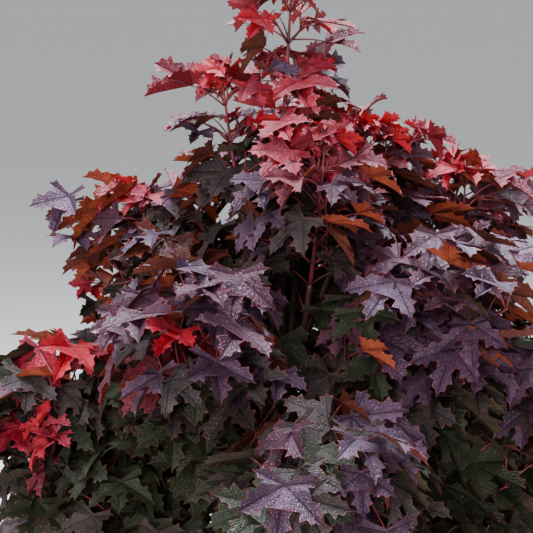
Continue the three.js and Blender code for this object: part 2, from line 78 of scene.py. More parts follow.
# Pot
# A round nursery pot, injection moulded in charcoal plastic with a thin wall. Its rim is rolled out and
# down, two shallow bands stiffen the wall, and it stands on a flat foot.
POT_HEIGHT = 0.33
POT_FOOT_RADIUS = 0.15
POT_TOP_RADIUS = 0.19
POT_WALL = 0.004
POT_FLOOR = 0.008
FOOT_RING = 0.019  # the width of the ring that the pot stands on
FOOT_RISE = 0.003  # how far the underside is raised within that ring
BAND_HEIGHTS = (0.105, 0.205)
BAND_WIDTH = 0.012
BAND_DEPTH = 0.0016
RIM_OVERHANG = 0.009
RIM_DEPTH = 0.026
RIM_LIP = 0.0025
ROLL_RADIUS = 0.004
EDGE = 0.002  # the small bevel along the edges of the pot and its mix
POT_STEPS = 96
POT_CREASE = 50  # edges bent by more than this, in degrees, are shaded sharp
PLASTIC_COLOR = (0.022, 0.023, 0.026)
DUST_COLOR = (0.11, 0.085, 0.06)
DUST_HEIGHT = 0.14


def new_piece(name, bm, materials):
    mesh = bpy.data.meshes.new(name)
    bm.to_mesh(mesh)
    bm.free()
    mesh.shade_smooth()
    return show_piece(name, mesh, materials)


def show_piece(name, mesh, materials):
    for material in materials:
        mesh.materials.append(material)
    piece = bpy.data.objects.new(name, mesh)
    bpy.context.scene.collection.objects.link(piece)
    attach(piece, "root")
    return piece


def spin_profile(bm, profile, steps):
    """Turns a line of (radius, height) points once round the upright axis."""
    points = [bm.verts.new((radius, 0, height)) for radius, height in profile]
    edges = [bm.edges.new(pair) for pair in zip(points, points[1:])]
    bmesh.ops.spin(
        bm, geom=points + edges, cent=(0, 0, 0), axis=(0, 0, 1), angle=math.tau, steps=steps, use_merge=True
    )
    bmesh.ops.remove_doubles(bm, verts=bm.verts, dist=1e-6)
    bmesh.ops.recalc_face_normals(bm, faces=bm.faces)


def pot_radius(height):
    return POT_FOOT_RADIUS + (POT_TOP_RADIUS - POT_FOOT_RADIUS) * height / POT_HEIGHT


def new_material(name, color, roughness, specular=0.5):
    material = bpy.data.materials.new(name)
    material.use_nodes = True
    shader = material.node_tree.nodes["Principled BSDF"]
    shader.inputs["Base Color"].default_value = (*color, 1)
    shader.inputs["Roughness"].default_value = roughness
    shader.inputs["Specular IOR Level"].default_value = specular
    return material, material.node_tree, shader


def add_node(tree, kind, inputs, **settings):
    """A node whose inputs are linked to other nodes' outputs or given plain values."""
    node = tree.nodes.new(kind)
    for key, value in settings.items():
        setattr(node, key, value)
    for key, value in inputs.items():
        if isinstance(value, bpy.types.NodeSocket):
            tree.links.new(value, node.inputs[key])
        else:
            node.inputs[key].default_value = value
    return node


def tone_mix(tree, factor, first, second):
    """A colour from first to second as factor goes from 0 to 1."""
    first, second = [(*color, 1) if isinstance(color, tuple) else color for color in (first, second)]
    return add_node(tree, "ShaderNodeMix", {0: factor, 6: first, 7: second}, data_type="RGBA").outputs[2]


def math_node(tree, operation, *values):
    return add_node(tree, "ShaderNodeMath", dict(enumerate(values)), operation=operation).outputs[0]


def ramp(tree, factor, low, high):
    """0 below low and 1 above high, and smooth between them."""
    limits = {"Value": factor, "From Min": low, "From Max": high}
    return add_node(tree, "ShaderNodeMapRange", limits, interpolation_type="SMOOTHSTEP").outputs["Result"]


def object_place(tree):
    return add_node(tree, "ShaderNodeTexCoord", {}).outputs["Object"]


def noise_pattern(tree, place, scale, detail, roughness=0.5):
    inputs = {"Vector": place, "Scale": scale, "Detail": detail, "Roughness": roughness}
    return add_node(tree, "ShaderNodeTexNoise", inputs).outputs["Fac"]


def cell_pattern(tree, place, scale, output="Distance", feature="F1"):
    inputs = {"Vector": place, "Scale": scale}
    return add_node(tree, "ShaderNodeTexVoronoi", inputs, feature=feature).outputs[output]


def give_surface(tree, shader, color, height, strength, distance):
    """Gives a material its colours and its fine relief."""
    tree.links.new(color, shader.inputs["Base Color"])
    bump = add_node(tree, "ShaderNodeBump", {"Height": height, "Strength": strength, "Distance": distance})
    tree.links.new(bump.outputs["Normal"], shader.inputs["Normal"])


def pot_plastic():
    material, tree, shader = new_material("pot_plastic", PLASTIC_COLOR, 0.42)
    place = object_place(tree)
    grain = noise_pattern(tree, place, 900.0, 3.0)
    dust = noise_pattern(tree, place, 9.0, 6.0, 0.7)
    height = add_node(tree, "ShaderNodeSeparateXYZ", {"Vector": place}).outputs["Z"]
    low_down = math_node(tree, "SUBTRACT", 1.0, ramp(tree, height, 0.0, DUST_HEIGHT))
    dusty = math_node(tree, "MULTIPLY", ramp(tree, dust, 0.42, 0.72), low_down)
    color = tone_mix(tree, math_node(tree, "MULTIPLY", dusty, 0.55), PLASTIC_COLOR, DUST_COLOR)
    tree.links.new(ramp(tree, dusty, -0.6, 1.0), shader.inputs["Roughness"])
    give_surface(tree, shader, color, grain, 0.25, 0.0004)
    return material


rim_radius = POT_TOP_RADIUS + RIM_OVERHANG
rim_foot = POT_HEIGHT - RIM_DEPTH
ring_start = POT_FOOT_RADIUS - FOOT_RING
pot_profile = [(0.0, FOOT_RISE), (ring_start - FOOT_RISE, FOOT_RISE), (ring_start, 0.0)]
pot_profile += [(POT_FOOT_RADIUS - 2 * EDGE, 0.0), (POT_FOOT_RADIUS - EDGE / 2, EDGE)]
pot_profile += [(pot_radius(3 * EDGE), 3 * EDGE)]
for band in BAND_HEIGHTS:
    band_top = band + BAND_WIDTH
    pot_profile += [(pot_radius(band), band), (pot_radius(band) + BAND_DEPTH, band + EDGE)]
    pot_profile += [(pot_radius(band_top) + BAND_DEPTH, band_top - EDGE), (pot_radius(band_top), band_top)]
pot_profile += [(pot_radius(rim_foot + 2 * EDGE), rim_foot + 2 * EDGE)]
pot_profile += [(rim_radius - RIM_LIP, rim_foot + 1.5 * EDGE), (rim_radius - EDGE, rim_foot)]
pot_profile += [(rim_radius, rim_foot + EDGE)]
# The rim rolls over in a quarter turn, from its side to its top.
for turn in range(0, 91, 18):
    angle = math.radians(turn)
    out = rim_radius - ROLL_RADIUS + ROLL_RADIUS * math.cos(angle)
    pot_profile.append((out, POT_HEIGHT - ROLL_RADIUS + ROLL_RADIUS * math.sin(angle)))
mouth_radius = POT_TOP_RADIUS - POT_WALL
pot_profile += [(mouth_radius + EDGE, POT_HEIGHT), (mouth_radius, POT_HEIGHT - EDGE)]
pot_profile += [(POT_FOOT_RADIUS - POT_WALL, POT_FLOOR), (0.0, POT_FLOOR)]

bm = bmesh.new()
spin_profile(bm, pot_profile, POT_STEPS)
pot = new_piece("nursery_pot", bm, [pot_plastic()])
pot.data.set_sharp_from_angle(angle=math.radians(POT_CREASE))
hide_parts("pot")


# Potting mix
# Moist composted bark that fills the pot to a little below its rim, settled into a shallow dish. Coarse
# chips of bark lie on top.
MIX_LEVEL = 0.3
MIX_FOOT = 0.009
MIX_GAP = 0.0012  # between the mix and the pot's wall
MIX_EDGE = 0.004  # the height of the slope round its edge
MIX_DISH = 0.0035  # how far it has sunk at the wall
MIX_LUMPS = ((38, 1.7, 0.0028), (130, 4.2, 0.0013))  # how close, which pattern, how high
MIX_SETTLED = 0.001
MIX_RINGS = 26
MIX_STEPS = 90
MIX_DARK = (0.02, 0.012, 0.008)
MIX_BROWN = (0.085, 0.048, 0.027)
CHIP_COUNT = 1500
CHIP_SIZE = 0.0075
CHIP_START = 0.034  # how far from the pot's middle the first chips lie
CHIP_RISE = 0.0012
CHIP_DARK = (0.028, 0.016, 0.011)
CHIP_BROWN = (0.15, 0.083, 0.048)
mix_random = np.random.default_rng(410)


def mix_radius(height):
    return pot_radius(height) - POT_WALL - MIX_GAP


def mix_height(x, y):
    """The mix's surface: sunk a little towards the wall, and lumpy."""
    spread = math.hypot(x, y) / mix_radius(MIX_LEVEL)
    lumps = sum(noise.noise((x * scale, y * scale, layer)) * high for scale, layer, high in MIX_LUMPS)
    return MIX_LEVEL - MIX_DISH * spread**4 + lumps * min(1.0, 4 * (1 - spread)) - MIX_SETTLED


def mix_material():
    material, tree, shader = new_material("composted_bark", (0.05, 0.03, 0.018), 0.9, 0.25)
    place = object_place(tree)
    patches = ramp(tree, noise_pattern(tree, place, 55.0, 5.0), 0.35, 0.7)
    color = tone_mix(tree, patches, MIX_DARK, MIX_BROWN)
    give_surface(tree, shader, color, cell_pattern(tree, place, 420.0), 0.8, 0.0012)
    return material


bm = bmesh.new()
mix_profile = [(0.0, MIX_FOOT), (mix_radius(POT_WALL) - EDGE, MIX_FOOT)]
mix_profile += [(mix_radius(MIX_LEVEL - MIX_EDGE) - EDGE / 4, MIX_LEVEL - MIX_EDGE)]
for ring in range(MIX_RINGS - 1, -1, -1):
    mix_profile.append((mix_radius(MIX_LEVEL) * ring / MIX_RINGS, MIX_LEVEL))
spin_profile(bm, mix_profile, MIX_STEPS)
for vertex in bm.verts:
    if vertex.co.z > MIX_LEVEL - MIX_EDGE / 2:
        vertex.co.z = mix_height(vertex.co.x, vertex.co.y)
mix_piece = new_piece("potting_mix_bed", bm, [mix_material()])
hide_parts("potting_mix")


def chip_material():
    material, tree, shader = new_material("bark_chips", (0.09, 0.05, 0.03), 0.82, 0.3)
    place = object_place(tree)
    cells = cell_pattern(tree, place, 110.0, "Color")
    tone = add_node(tree, "ShaderNodeSeparateColor", {"Color": cells}).outputs[0]
    color = tone_mix(tree, tone, CHIP_DARK, CHIP_BROWN)
    give_surface(tree, shader, color, noise_pattern(tree, place, 600.0, 2.0), 0.5, 0.0005)
    return material


def scattered_chips():
    """Bark chips: six-cornered slivers, each its own size and turn, half sunk in the mix."""
    points, faces = [], []
    rim = [(-1, 0, 0), (0, -0.45, 0.1), (1, -0.1, 0), (0.1, 0.5, -0.1)]
    corners = np.array(rim + [(0, 0, 0.3), (0, 0, -0.3)])
    sides = [(0, 1, 4), (1, 2, 4), (2, 3, 4), (3, 0, 4), (1, 0, 5), (2, 1, 5), (3, 2, 5), (0, 3, 5)]
    chip_end = mix_radius(MIX_LEVEL) - CHIP_SIZE
    for _ in range(CHIP_COUNT):
        angle = mix_random.uniform(0, math.tau)
        out = math.sqrt(mix_random.uniform(CHIP_START**2, chip_end**2))
        x, y = out * math.cos(angle), out * math.sin(angle)
        size = CHIP_SIZE * mix_random.uniform(0.35, 1.0)
        turn = Matrix.Rotation(mix_random.uniform(0, math.tau), 3, "Z")
        turn @= Matrix.Rotation(mix_random.uniform(-0.5, 0.5), 3, "X")
        chip = (corners * size * mix_random.uniform(0.7, 1.2, 3)) @ np.array(turn.transposed())
        start = len(points)
        points += [(x + px, y + py, mix_height(x, y) + CHIP_RISE + pz) for px, py, pz in chip]
        faces += [tuple(start + k for k in side) for side in sides]
    mesh = bpy.data.meshes.new("bark_chips")
    mesh.from_pydata(points, [], faces)
    return mesh


show_piece("bark_chips", scattered_chips(), [chip_material()])


# Trunk
# One young stem from the mix to the leader, smooth and grey-brown, with faint lines, pale pores and a
# ring at each season's bud scars. It flares where the roots begin.
TRUNK_TOP = 1.47
TRUNK_START = 0.012  # how far below the mix's level the trunk begins, before its flat cut
TRUNK_CUT = 0.006
TRUNK_FOOT_RADIUS = 0.015
TRUNK_TIP_RADIUS = 0.004
TRUNK_TAPER = 0.85  # below 1, the trunk thins more near its foot
FLARE_RADIUS = 0.011
FLARE_HEIGHT = 0.038
ROOT_RIDGES = 3
ROOT_TURN = 0.6
ROOT_SWELL = 0.3  # of the flare, on the ridges where the roots begin
TRUNK_LEAN = 0.016
TRUNK_SWAY = 0.009
TRUNK_SIDES = 28
TRUNK_RINGS = 190
SCAR_SPACING = 0.074  # between the rings that bud scars leave
SCAR_WIDTH = 0.0028
RIBS_ACROSS = 260  # how many ribs and lumps there are in a metre
RIBS_ALONG = 14
LUMPS = 60
RIB_RELIEF = 0.035  # how far ribs, lumps and scar rings stand out, as shares of the limb's radius
LUMP_RELIEF = 0.05
SCAR_RELIEF = 0.09
UP = Vector((0, 0, 1))


def trunk_at(height):
    t = (height - MIX_LEVEL) / (TRUNK_TOP - MIX_LEVEL)
    sway = TRUNK_SWAY * math.sin(math.tau * t)
    return Vector((-TRUNK_LEAN * t + sway, TRUNK_SWAY * math.sin(math.pi * 1.3 * t), height))


def trunk_height(t):
    low = MIX_LEVEL - TRUNK_START
    return low + (TRUNK_TOP - low) * t


def trunk_radius(t, angle=0.0):
    flare = math.exp((MIX_LEVEL - trunk_height(t)) / FLARE_HEIGHT)
    ridges = 1 + ROOT_SWELL * math.cos(ROOT_RIDGES * angle + ROOT_TURN)
    taper = (TRUNK_TIP_RADIUS - TRUNK_FOOT_RADIUS) * t**TRUNK_TAPER
    return TRUNK_FOOT_RADIUS + taper + FLARE_RADIUS * flare * ridges


def bark_relief(place, distance, radius):
    """How far the bark stands out of the limb's round: long ribs, small lumps and scar rings."""
    rib_place = (place.x * RIBS_ACROSS, place.y * RIBS_ACROSS, place.z * RIBS_ALONG)
    ribs = noise.noise(rib_place) * RIB_RELIEF * radius
    lumps = noise.noise(place * LUMPS) * LUMP_RELIEF * radius
    off_scar = distance % SCAR_SPACING - SCAR_SPACING / 2
    return ribs + lumps + SCAR_RELIEF * radius * math.exp(-((off_scar / SCAR_WIDTH) ** 2))


def limb_frames(places):
    """For each place on a limb, the direction along it and two directions across that don't twist."""
    frames = []
    across = Vector((1, 0, 0))
    for i, place in enumerate(places):
        before = places[max(i - 1, 0)]
        after = places[min(i + 1, len(places) - 1)]
        along = (after - before).normalized()
        if i == 0 and abs(along.x) > 0.8:
            across = Vector((0, 1, 0))
        across = (across - along * across.dot(along)).normalized()
        frames.append((place, across, along.cross(across)))
    return frames


def grow_limb(bm, places, radius_at, sides):
    """A limb: a straight round bar whose rings are then laid along its places.

    radius_at takes the share of the way along and the angle round the limb.
    """
    steps = len(places) - 1
    bar = bmesh.new()
    spin_profile(bar, [(0, 0)] + [(1, i) for i in range(steps + 1)] + [(0, steps)], sides)
    ring_frames = limb_frames(places)
    travelled = [0.0]
    for before, after in zip(places, places[1:]):
        travelled.append(travelled[-1] + (after - before).length)
    for vertex in bar.verts:
        i = round(vertex.co.z)
        middle, across, over = ring_frames[i]
        if math.hypot(vertex.co.x, vertex.co.y) < 0.5:
            vertex.co = middle
            continue
        angle = math.atan2(vertex.co.y, vertex.co.x)
        out = across * math.cos(angle) + over * math.sin(angle)
        radius = radius_at(i / steps, angle)
        place = middle + out * radius
        vertex.co = place + out * bark_relief(place, travelled[i], radius)
    mesh = bpy.data.meshes.new("limb")
    bar.to_mesh(mesh)
    bar.free()
    bm.from_mesh(mesh)
    bpy.data.meshes.remove(mesh)


def bark_material(name, deep, pale, pore, roughness):
    material, tree, shader = new_material(name, pale, roughness)
    place = object_place(tree)
    stretched = add_node(tree, "ShaderNodeMapping", {"Vector": place, "Scale": (1.0, 1.0, 0.09)}).outputs[0]
    lines = noise_pattern(tree, stretched, 420.0, 5.0)
    streaks = math_node(tree, "MULTIPLY", lines, noise_pattern(tree, place, 38.0, 4.0))
    is_pore = math_node(tree, "SUBTRACT", 1.0, ramp(tree, cell_pattern(tree, place, 210.0), 0.1, 0.2))
    color = tone_mix(tree, ramp(tree, streaks, 0.14, 0.36), deep, pale)
    color = tone_mix(tree, is_pore, color, pore)
    height = math_node(tree, "ADD", lines, math_node(tree, "MULTIPLY", is_pore, 0.8))
    give_surface(tree, shader, color, height, 0.55, 0.0007)
    return material


trunk_bark = bark_material("trunk_bark", (0.04, 0.026, 0.022), (0.12, 0.08, 0.065), (0.25, 0.17, 0.13), 0.7)
bm = bmesh.new()
trunk_places = [trunk_at(trunk_height(i / TRUNK_RINGS)) for i in range(TRUNK_RINGS + 1)]
grow_limb(bm, trunk_places, trunk_radius, TRUNK_SIDES)
bmesh.ops.bisect_plane(
    bm, geom=bm.verts[:] + bm.edges[:] + bm.faces[:], dist=1e-6,
    plane_co=(0, 0, MIX_LEVEL - TRUNK_CUT), plane_no=(0, 0, -1), clear_outer=True,
)
bmesh.ops.holes_fill(bm, edges=[edge for edge in bm.edges if edge.is_boundary], sides=0)
bmesh.ops.recalc_face_normals(bm, faces=bm.faces)
trunk = new_piece("trunk_with_bark", bm, [trunk_bark])
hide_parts("trunk")


# Boughs
# Nineteen young limbs, smooth and red-brown, that leave the trunk at a slant and bend upwards. Each joins
# the trunk with a small collar and thins to the stem that carries its leaves.
BOUGH_TIP_RADIUS = 0.0038
BOUGH_SWELL = 0.0085  # extra radius at the root, as a share of the whole limb's length
BOUGH_SHARE = 0.42  # of the limb that is bough, before the stem that carries its foliage
LEADER_SHARE = 0.6
LEAFY_SHARE = 0.24  # of the limb, at the bough's end, where leaves begin
BOUGH_SAG = 0.16  # how far a limb bends below its straight line, as a share of its rise
BOUGH_ARCH = 0.12  # and how far outwards, as a share of its reach
STEM_BEND = 0.45
BOUGH_SIDES = 14
BOUGH_RINGS = 34
COLLAR_SWELL = 0.28
COLLAR_LENGTH = 0.07  # as a share of the bough
CURVE_STEPS = 20

# Each limb: the bearing of its tip round the trunk in degrees, how far out and how high the tip stands,
# the height where it leaves the trunk, how far its foliage spreads as a share of the widest, and the finish
# of its leaves.
BOUGHS = [
    ("left_leader", 194, 0.112, 1.525, 1.090, 0.35, "red"),
    ("right_leader", 14, 0.112, 1.435, 1.060, 0.5, "red"),
    ("front_leader", -77, 0.172, 1.440, 0.985, 0.45, "red"),
    ("back_leader", 84, 0.150, 1.435, 1.010, 0.55, "red"),
    ("right_shoulder", 10, 0.262, 1.372, 0.900, 0.8, "red"),
    ("left_shoulder", 172, 0.240, 1.335, 0.880, 0.75, "purple"),
    ("right_front", -42, 0.290, 1.285, 0.800, 0.9, "purple"),
    ("left_front", -122, 0.285, 1.225, 0.820, 0.9, "purple"),
    ("back", 88, 0.300, 1.280, 0.780, 0.9, "purple"),
    ("front_middle", -86, 0.395, 1.055, 0.640, 1, "purple"),
    ("right_side", -14, 0.390, 1.125, 0.690, 1, "purple"),
    ("right_back", 50, 0.375, 1.075, 0.670, 1, "purple"),
    ("left_back", 130, 0.375, 1.065, 0.625, 1, "purple"),
    ("left_side", 197, 0.380, 1.085, 0.655, 1, "purple"),
    ("low_right_front", -48, 0.385, 0.830, 0.490, 1, "bronze"),
    ("low_right", 18, 0.380, 0.845, 0.520, 1, "bronze"),
    ("low_back", 88, 0.385, 0.820, 0.480, 1, "bronze"),
    ("low_left", 163, 0.380, 0.835, 0.505, 1, "bronze"),
    ("low_left_front", -124, 0.385, 0.850, 0.530, 1, "bronze"),
]


def curve_at(points, t):
    root, bend, tip = points
    return root.lerp(bend, t).lerp(bend.lerp(tip, t), t)


def curve_along(points, t):
    root, bend, tip = points
    return (bend.lerp(tip, t) - root.lerp(bend, t)).normalized()


def curve_places(points, steps, share=1.0):
    """Places at even steps along a curve, up to a share of its way."""
    return [curve_at(points, share * i / steps) for i in range(steps + 1)]


def curve_length(points):
    places = curve_places(points, CURVE_STEPS)
    return sum((b - a).length for a, b in zip(places, places[1:]))


def limb_curve(bearing, reach, tip_height, root_height):
    root = trunk_at(root_height)
    out = Vector((math.cos(math.radians(bearing)), math.sin(math.radians(bearing)), 0))
    tip = out * reach + UP * tip_height
    bend = root.lerp(tip, 0.5) - UP * BOUGH_SAG * (tip_height - root_height) + out * BOUGH_ARCH * reach
    return root, bend, tip


bm = bmesh.new()
masses = []
for name, bearing, reach, tip_height, root_height, spread, finish in BOUGHS:
    limb = limb_curve(bearing, reach, tip_height, root_height)
    swell = BOUGH_SWELL * curve_length(limb)
    share = LEADER_SHARE if name.endswith("leader") else BOUGH_SHARE

    def bough_radius(t, angle):
        collar = COLLAR_SWELL * math.exp(-((t / COLLAR_LENGTH) ** 2))
        return (BOUGH_TIP_RADIUS + swell * (1 - t)) * (1 + collar)

    grow_limb(bm, curve_places(limb, BOUGH_RINGS, share), bough_radius, BOUGH_SIDES)
    root = curve_at(limb, share)
    stem = (root, root + curve_along(limb, share) * STEM_BEND * (limb[2] - root).length, limb[2])
    leafy_end = (curve_at(limb, share - LEAFY_SHARE), curve_at(limb, share - LEAFY_SHARE / 2), root)
    mass = {"name": name, "finish": finish, "spread": spread, "stem": stem, "leafy_end": leafy_end}
    mass.update(limb=limb, share=share, swell=swell)
    masses.append(mass)
bough_bark = bark_material("bough_bark", (0.042, 0.015, 0.017), (0.105, 0.032, 0.033), (0.2, 0.1, 0.08), 0.5)
boughs = new_piece("boughs_with_bark", bm, [bough_bark])
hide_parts(*[f"bough_{name}" for name, *_ in BOUGHS])


# Growth
# How the shoots branch: a stem carries on from each bough and from the leader. Twigs leave it in crossed
# pairs, finer twigs leave those, and leaves stand along them all in crossed pairs.
LEADER_TIP = Vector((-0.006, -0.004, 1.65))
LEADER_SPREAD = 0.4
LEAFY_TRUNK = 0.1  # how far down the trunk the leader's leaves begin
STEM_RADIUS = 0.0038
TWIG_ROOT_RADIUS = 0.003
FINE_ROOT_RADIUS = 0.002
TIP_RADIUS = 0.0013
TWIG_LENGTH = 0.19
TWIG_ANGLE = 52  # between a twig and its stem, in degrees
TWIG_LIFT = 0.22  # how far a twig's tip turns up, as a share of its length
TWIG_TAPER = 0.4  # how much shorter a twig at the stem's tip is than one at its root
TWIG_TRIES = (1, 0.7)  # the shares of its length that a twig may have, the first with room
TWIG_ROOM = 0.005
TWIG_PAIRS = [(0.16, 1), (0.52, 1), (0.78, 0.5)]  # how far along the stem, and their length as a share
FINE_TWIG_PLACES = (0.3, 0.6)
FINE_TWIG_SHARE = 0.45
TWIG_STEPS = 10
BARE_SHARES = (0.1, 0.25, 0.25)  # of a stem, a twig and a fine twig
# Through how many degrees in all chance may turn a stem's first twigs, a twig, a fine twig and a leaf pair
# round the axis that bears them.
STEM_TURN_CHANCE = 60
TWIG_TURN_CHANCE = 30
FINE_TURN_CHANCE = 50
LEAF_TURN_CHANCE = 40
FINE_TURN = 70  # how far above and below level fine twigs leave, round their twig
TWIG_LENGTHS = (0.85, 1.15)  # the least and the greatest by chance, as shares of the rule's length
FINE_LENGTHS = (0.8, 1.2)
# The photo shows these as single upright stems, so their twigs are short spurs without finer ones.
UPRIGHT_SHOOTS = ("leader", "left_leader")
SPUR_SHARE = 0.45
LAST_PAIR = 0.98  # how far along its shoot the last leaf pair stands
INTERNODE = 0.042  # between two leaf pairs
TUFT_PLACES = (1.0, 0.95, 0.89)  # of the young pairs that stand close together on a flushing shoot's tip
SPACE_RADIUS = 0.19  # how far the widest masses reach from their stems
LEAST_SPACE = 0.45  # and those of no spread, as a share of that
OWN_BOUGH = 0.014  # wood this near to a stem's root is the stem's own bough
LINE_STEPS = 24
WOOD_STEPS = 30
TRUNK_STEPS = 146
SEED_RANGE = 2147483647
SEED_SPREAD = 7919
NUMBER_SPREAD = 48271
FIRST_SEED = 7001


def seeded(seed):
    """The same numbers in the same order for one seed, each from 0 to 1."""
    state = seed * SEED_SPREAD % SEED_RANGE
    while True:
        state = state * NUMBER_SPREAD % SEED_RANGE
        yield state / SEED_RANGE


def mix(low, high, share):
    return low + (high - low) * share


def share_of(value, start, end):
    """How far a value is on its way from start to end, from 0 to 1."""
    return min(1.0, max(0.0, (value - start) / (end - start)))


def across_axis(along, turn):
    """The direction square to an axis, at an angle round it: 0 is level."""
    level = along.cross(UP)
    level = level.normalized() if level.length > 0.01 else Vector((1, 0, 0))
    return level * math.cos(math.radians(turn)) + level.cross(along) * math.sin(math.radians(turn))


# Where the wood of the trunk and the boughs is, for twigs and leaves to keep off.
wood_places = [trunk_at(mix(MIX_LEVEL, TRUNK_TOP, i / TRUNK_STEPS)) for i in range(TRUNK_STEPS + 1)]
wood_radii = [trunk_radius(i / TRUNK_STEPS) for i in range(TRUNK_STEPS + 1)]
for mass in masses:
    wood_places += curve_places(mass["limb"], WOOD_STEPS, mass["share"])
    wood_radii += [BOUGH_TIP_RADIUS + mass["swell"] * (1 - i / WOOD_STEPS) for i in range(WOOD_STEPS + 1)]
wood_places = np.array(wood_places)
wood_radii = np.array(wood_radii)

# The leader, and then the space of each mass: round its stem, and up to halfway to the other stems.
root = trunk_at(TRUNK_TOP)
stem = (root, root.lerp(LEADER_TIP, 0.5), LEADER_TIP)
leafy_end = (trunk_at(TRUNK_TOP - LEAFY_TRUNK), trunk_at(TRUNK_TOP - LEAFY_TRUNK / 2), root)
leader = {"name": "leader", "finish": "red", "spread": LEADER_SPREAD, "stem": stem, "leafy_end": leafy_end}
masses.insert(0, leader)
for mass in masses:
    root, _, tip = mass["stem"]
    mass["line"] = np.array([root.lerp(tip, i / LINE_STEPS) for i in range(LINE_STEPS + 1)])
    mass["reach"] = SPACE_RADIUS * mix(LEAST_SPACE, 1, mass["spread"])
    is_other = np.linalg.norm(wood_places - np.array(root), axis=1) > OWN_BOUGH
    mass["wood"] = (wood_places[is_other], wood_radii[is_other])
for mass in masses:
    planes = []
    for other in masses:
        if other is not mass:
            apart = np.linalg.norm(mass["line"][:, None] - other["line"][None], axis=2)
            here, there = np.unravel_index(apart.argmin(), apart.shape)
            here, there = Vector(mass["line"][here]), Vector(other["line"][there])
            normal = (there - here).normalized()
            planes.append((*normal, normal.dot(here.lerp(there, 0.5))))
    planes = np.array(planes)
    mass["planes"] = (planes[:, :3], planes[:, 3])


def has_room(mass, place, past=0.0):
    """Whether a place is in the mass's own space, or no further than past into the next one's."""
    normals, offsets = mass["planes"]
    place = np.array(place)
    if (normals @ place - offsets > past).any():
        return False
    return (((mass["line"] - place) ** 2).sum(axis=1) < mass["reach"] ** 2).any()


def is_off_wood(mass, place, room):
    places, radii = mass["wood"]
    return (np.linalg.norm(places - np.array(place), axis=1) > radii + room).all()


def new_axis(mass, points, order, root_radius):
    length = curve_length(points)
    return {"mass": mass, "points": points, "order": order, "radius": root_radius, "length": length}


def grow_twig(parent, t, turn, length, radius):
    """A twig that leaves its parent at a slant and curves up to the light, as long as it has room."""
    mass = parent["mass"]
    along = curve_along(parent["points"], t)
    root = curve_at(parent["points"], t)
    lean = math.radians(TWIG_ANGLE)
    heading = along * math.cos(lean) + across_axis(along, turn) * math.sin(lean)
    for share in TWIG_TRIES:
        tip = root + (heading + UP * TWIG_LIFT) * length * share
        points = (root, root + heading * length * share * 0.5, tip)
        places = curve_places(points, TWIG_STEPS)[1:]
        if all(has_room(mass, place, -radius) and is_off_wood(mass, place, TWIG_ROOM) for place in places):
            return new_axis(mass, points, parent["order"] + 1, radius)
    return None


def grow_twigs(mass, random):
    stem = new_axis(mass, mass["stem"], 0, STEM_RADIUS)
    axes = [stem]
    first_turn = STEM_TURN_CHANCE * (next(random) - 0.5)
    longest = TWIG_LENGTH * mass["spread"] * (SPUR_SHARE if mass["name"] in UPRIGHT_SHOOTS else 1)
    for pair, (t, share) in enumerate(TWIG_PAIRS):
        for half_turn in (0, 180):
            turn = first_turn + 90 * pair + half_turn + TWIG_TURN_CHANCE * (next(random) - 0.5)
            length = longest * share * (1 - TWIG_TAPER * t) * mix(*TWIG_LENGTHS, next(random))
            axes.append(grow_twig(stem, t, turn, length, TWIG_ROOT_RADIUS))
    return [axis for axis in axes if axis]


def grow_fine_twigs(twig, random):
    axes = []
    for place in FINE_TWIG_PLACES:
        for side in (FINE_TURN, -FINE_TURN):
            turn = side + FINE_TURN_CHANCE * (next(random) - 0.5)
            length = FINE_TWIG_SHARE * twig["length"] * mix(*FINE_LENGTHS, next(random))
            axes.append(grow_twig(twig, place, turn, length, FINE_ROOT_RADIUS))
    return [axis for axis in axes if axis]


def leaf_pair(axis, t, pair, random, tuft=False):
    """Two leaves opposite each other, at about a right angle to the next pair."""
    place = curve_at(axis["points"], t)
    along = curve_along(axis["points"], t)
    first_turn = 90 * pair + LEAF_TURN_CHANCE * (next(random) - 0.5)
    leaves = []
    for half_turn in (0, 180):
        leaf = {"axis": axis, "pair": pair, "tuft": tuft, "place": place, "along": along}
        leaf["across"] = across_axis(along, first_turn + half_turn)
        leaf["chance"] = [next(random) for _ in range(4)]
        leaves.append(leaf)
    return leaves


def leaf_places(axis, random):
    """A shoot's leaf pairs, numbered back from its tip."""
    bare = BARE_SHARES[axis["order"]]
    pairs = round(axis["length"] * (1 - bare) / INTERNODE)
    places = [mix(LAST_PAIR, bare, pair / max(1, pairs)) for pair in range(pairs + 1)]
    return [leaf for pair, t in enumerate(places) for leaf in leaf_pair(axis, t, pair, random)]


def tuft_places(axis, random):
    return [leaf for pair, t in enumerate(TUFT_PLACES) for leaf in leaf_pair(axis, t, pair, random, True)]


# Leaves
# Each has five long-pointed, toothed lobes round the top of its stalk, folded along the veins and puckered
# between them. The skin is waxy: red when young, then purple, and bronze-green in the shade.
LEAF_LENGTH = 0.092  # from the stalk's top to the tip of the middle lobe
LEAST_LEAF = 0.58  # a leaf's size in a mass of no spread, as a share of its size in the widest
GROWN_SIZES = (0.8, 1)  # of a shoot's leaf pairs, from its tip back
TUFT_SIZES = (0.36, 0.5, 0.64)  # of the young pairs on a flushing shoot's tip
LEAST_SIZE = 0.76  # chance sizes each leaf from this share to as much more as the next
SIZE_CHANCE = 0.36
STALK_LENGTH = 0.072
STALK_SLANT = 0.6  # how far a stalk points along its shoot, against 1 straight out
TUFT_SLANT = 1.1
STALK_LIFT = 0.25
OUTWARD_TURN = 0.7  # how strongly a blade turns out of the crown, against 1 along its stalk
LOW_LEAVES = 1.0  # the heights between which blades come to hang less and to fold up more
HIGH_LEAVES = 1.5
LEAST_DROOPS = (8, -12)  # how far blades hang below level, in degrees: low down, and high up
MOST_DROOPS = (64, 42)
TUFT_DROOPS = (0, 62)
MOST_ROLL = 32
MOST_TURN = 55  # how far a blade turns on its stalk to either side
LEAF_GAP = 0.05  # the least distance between the middles of two full-sized blades
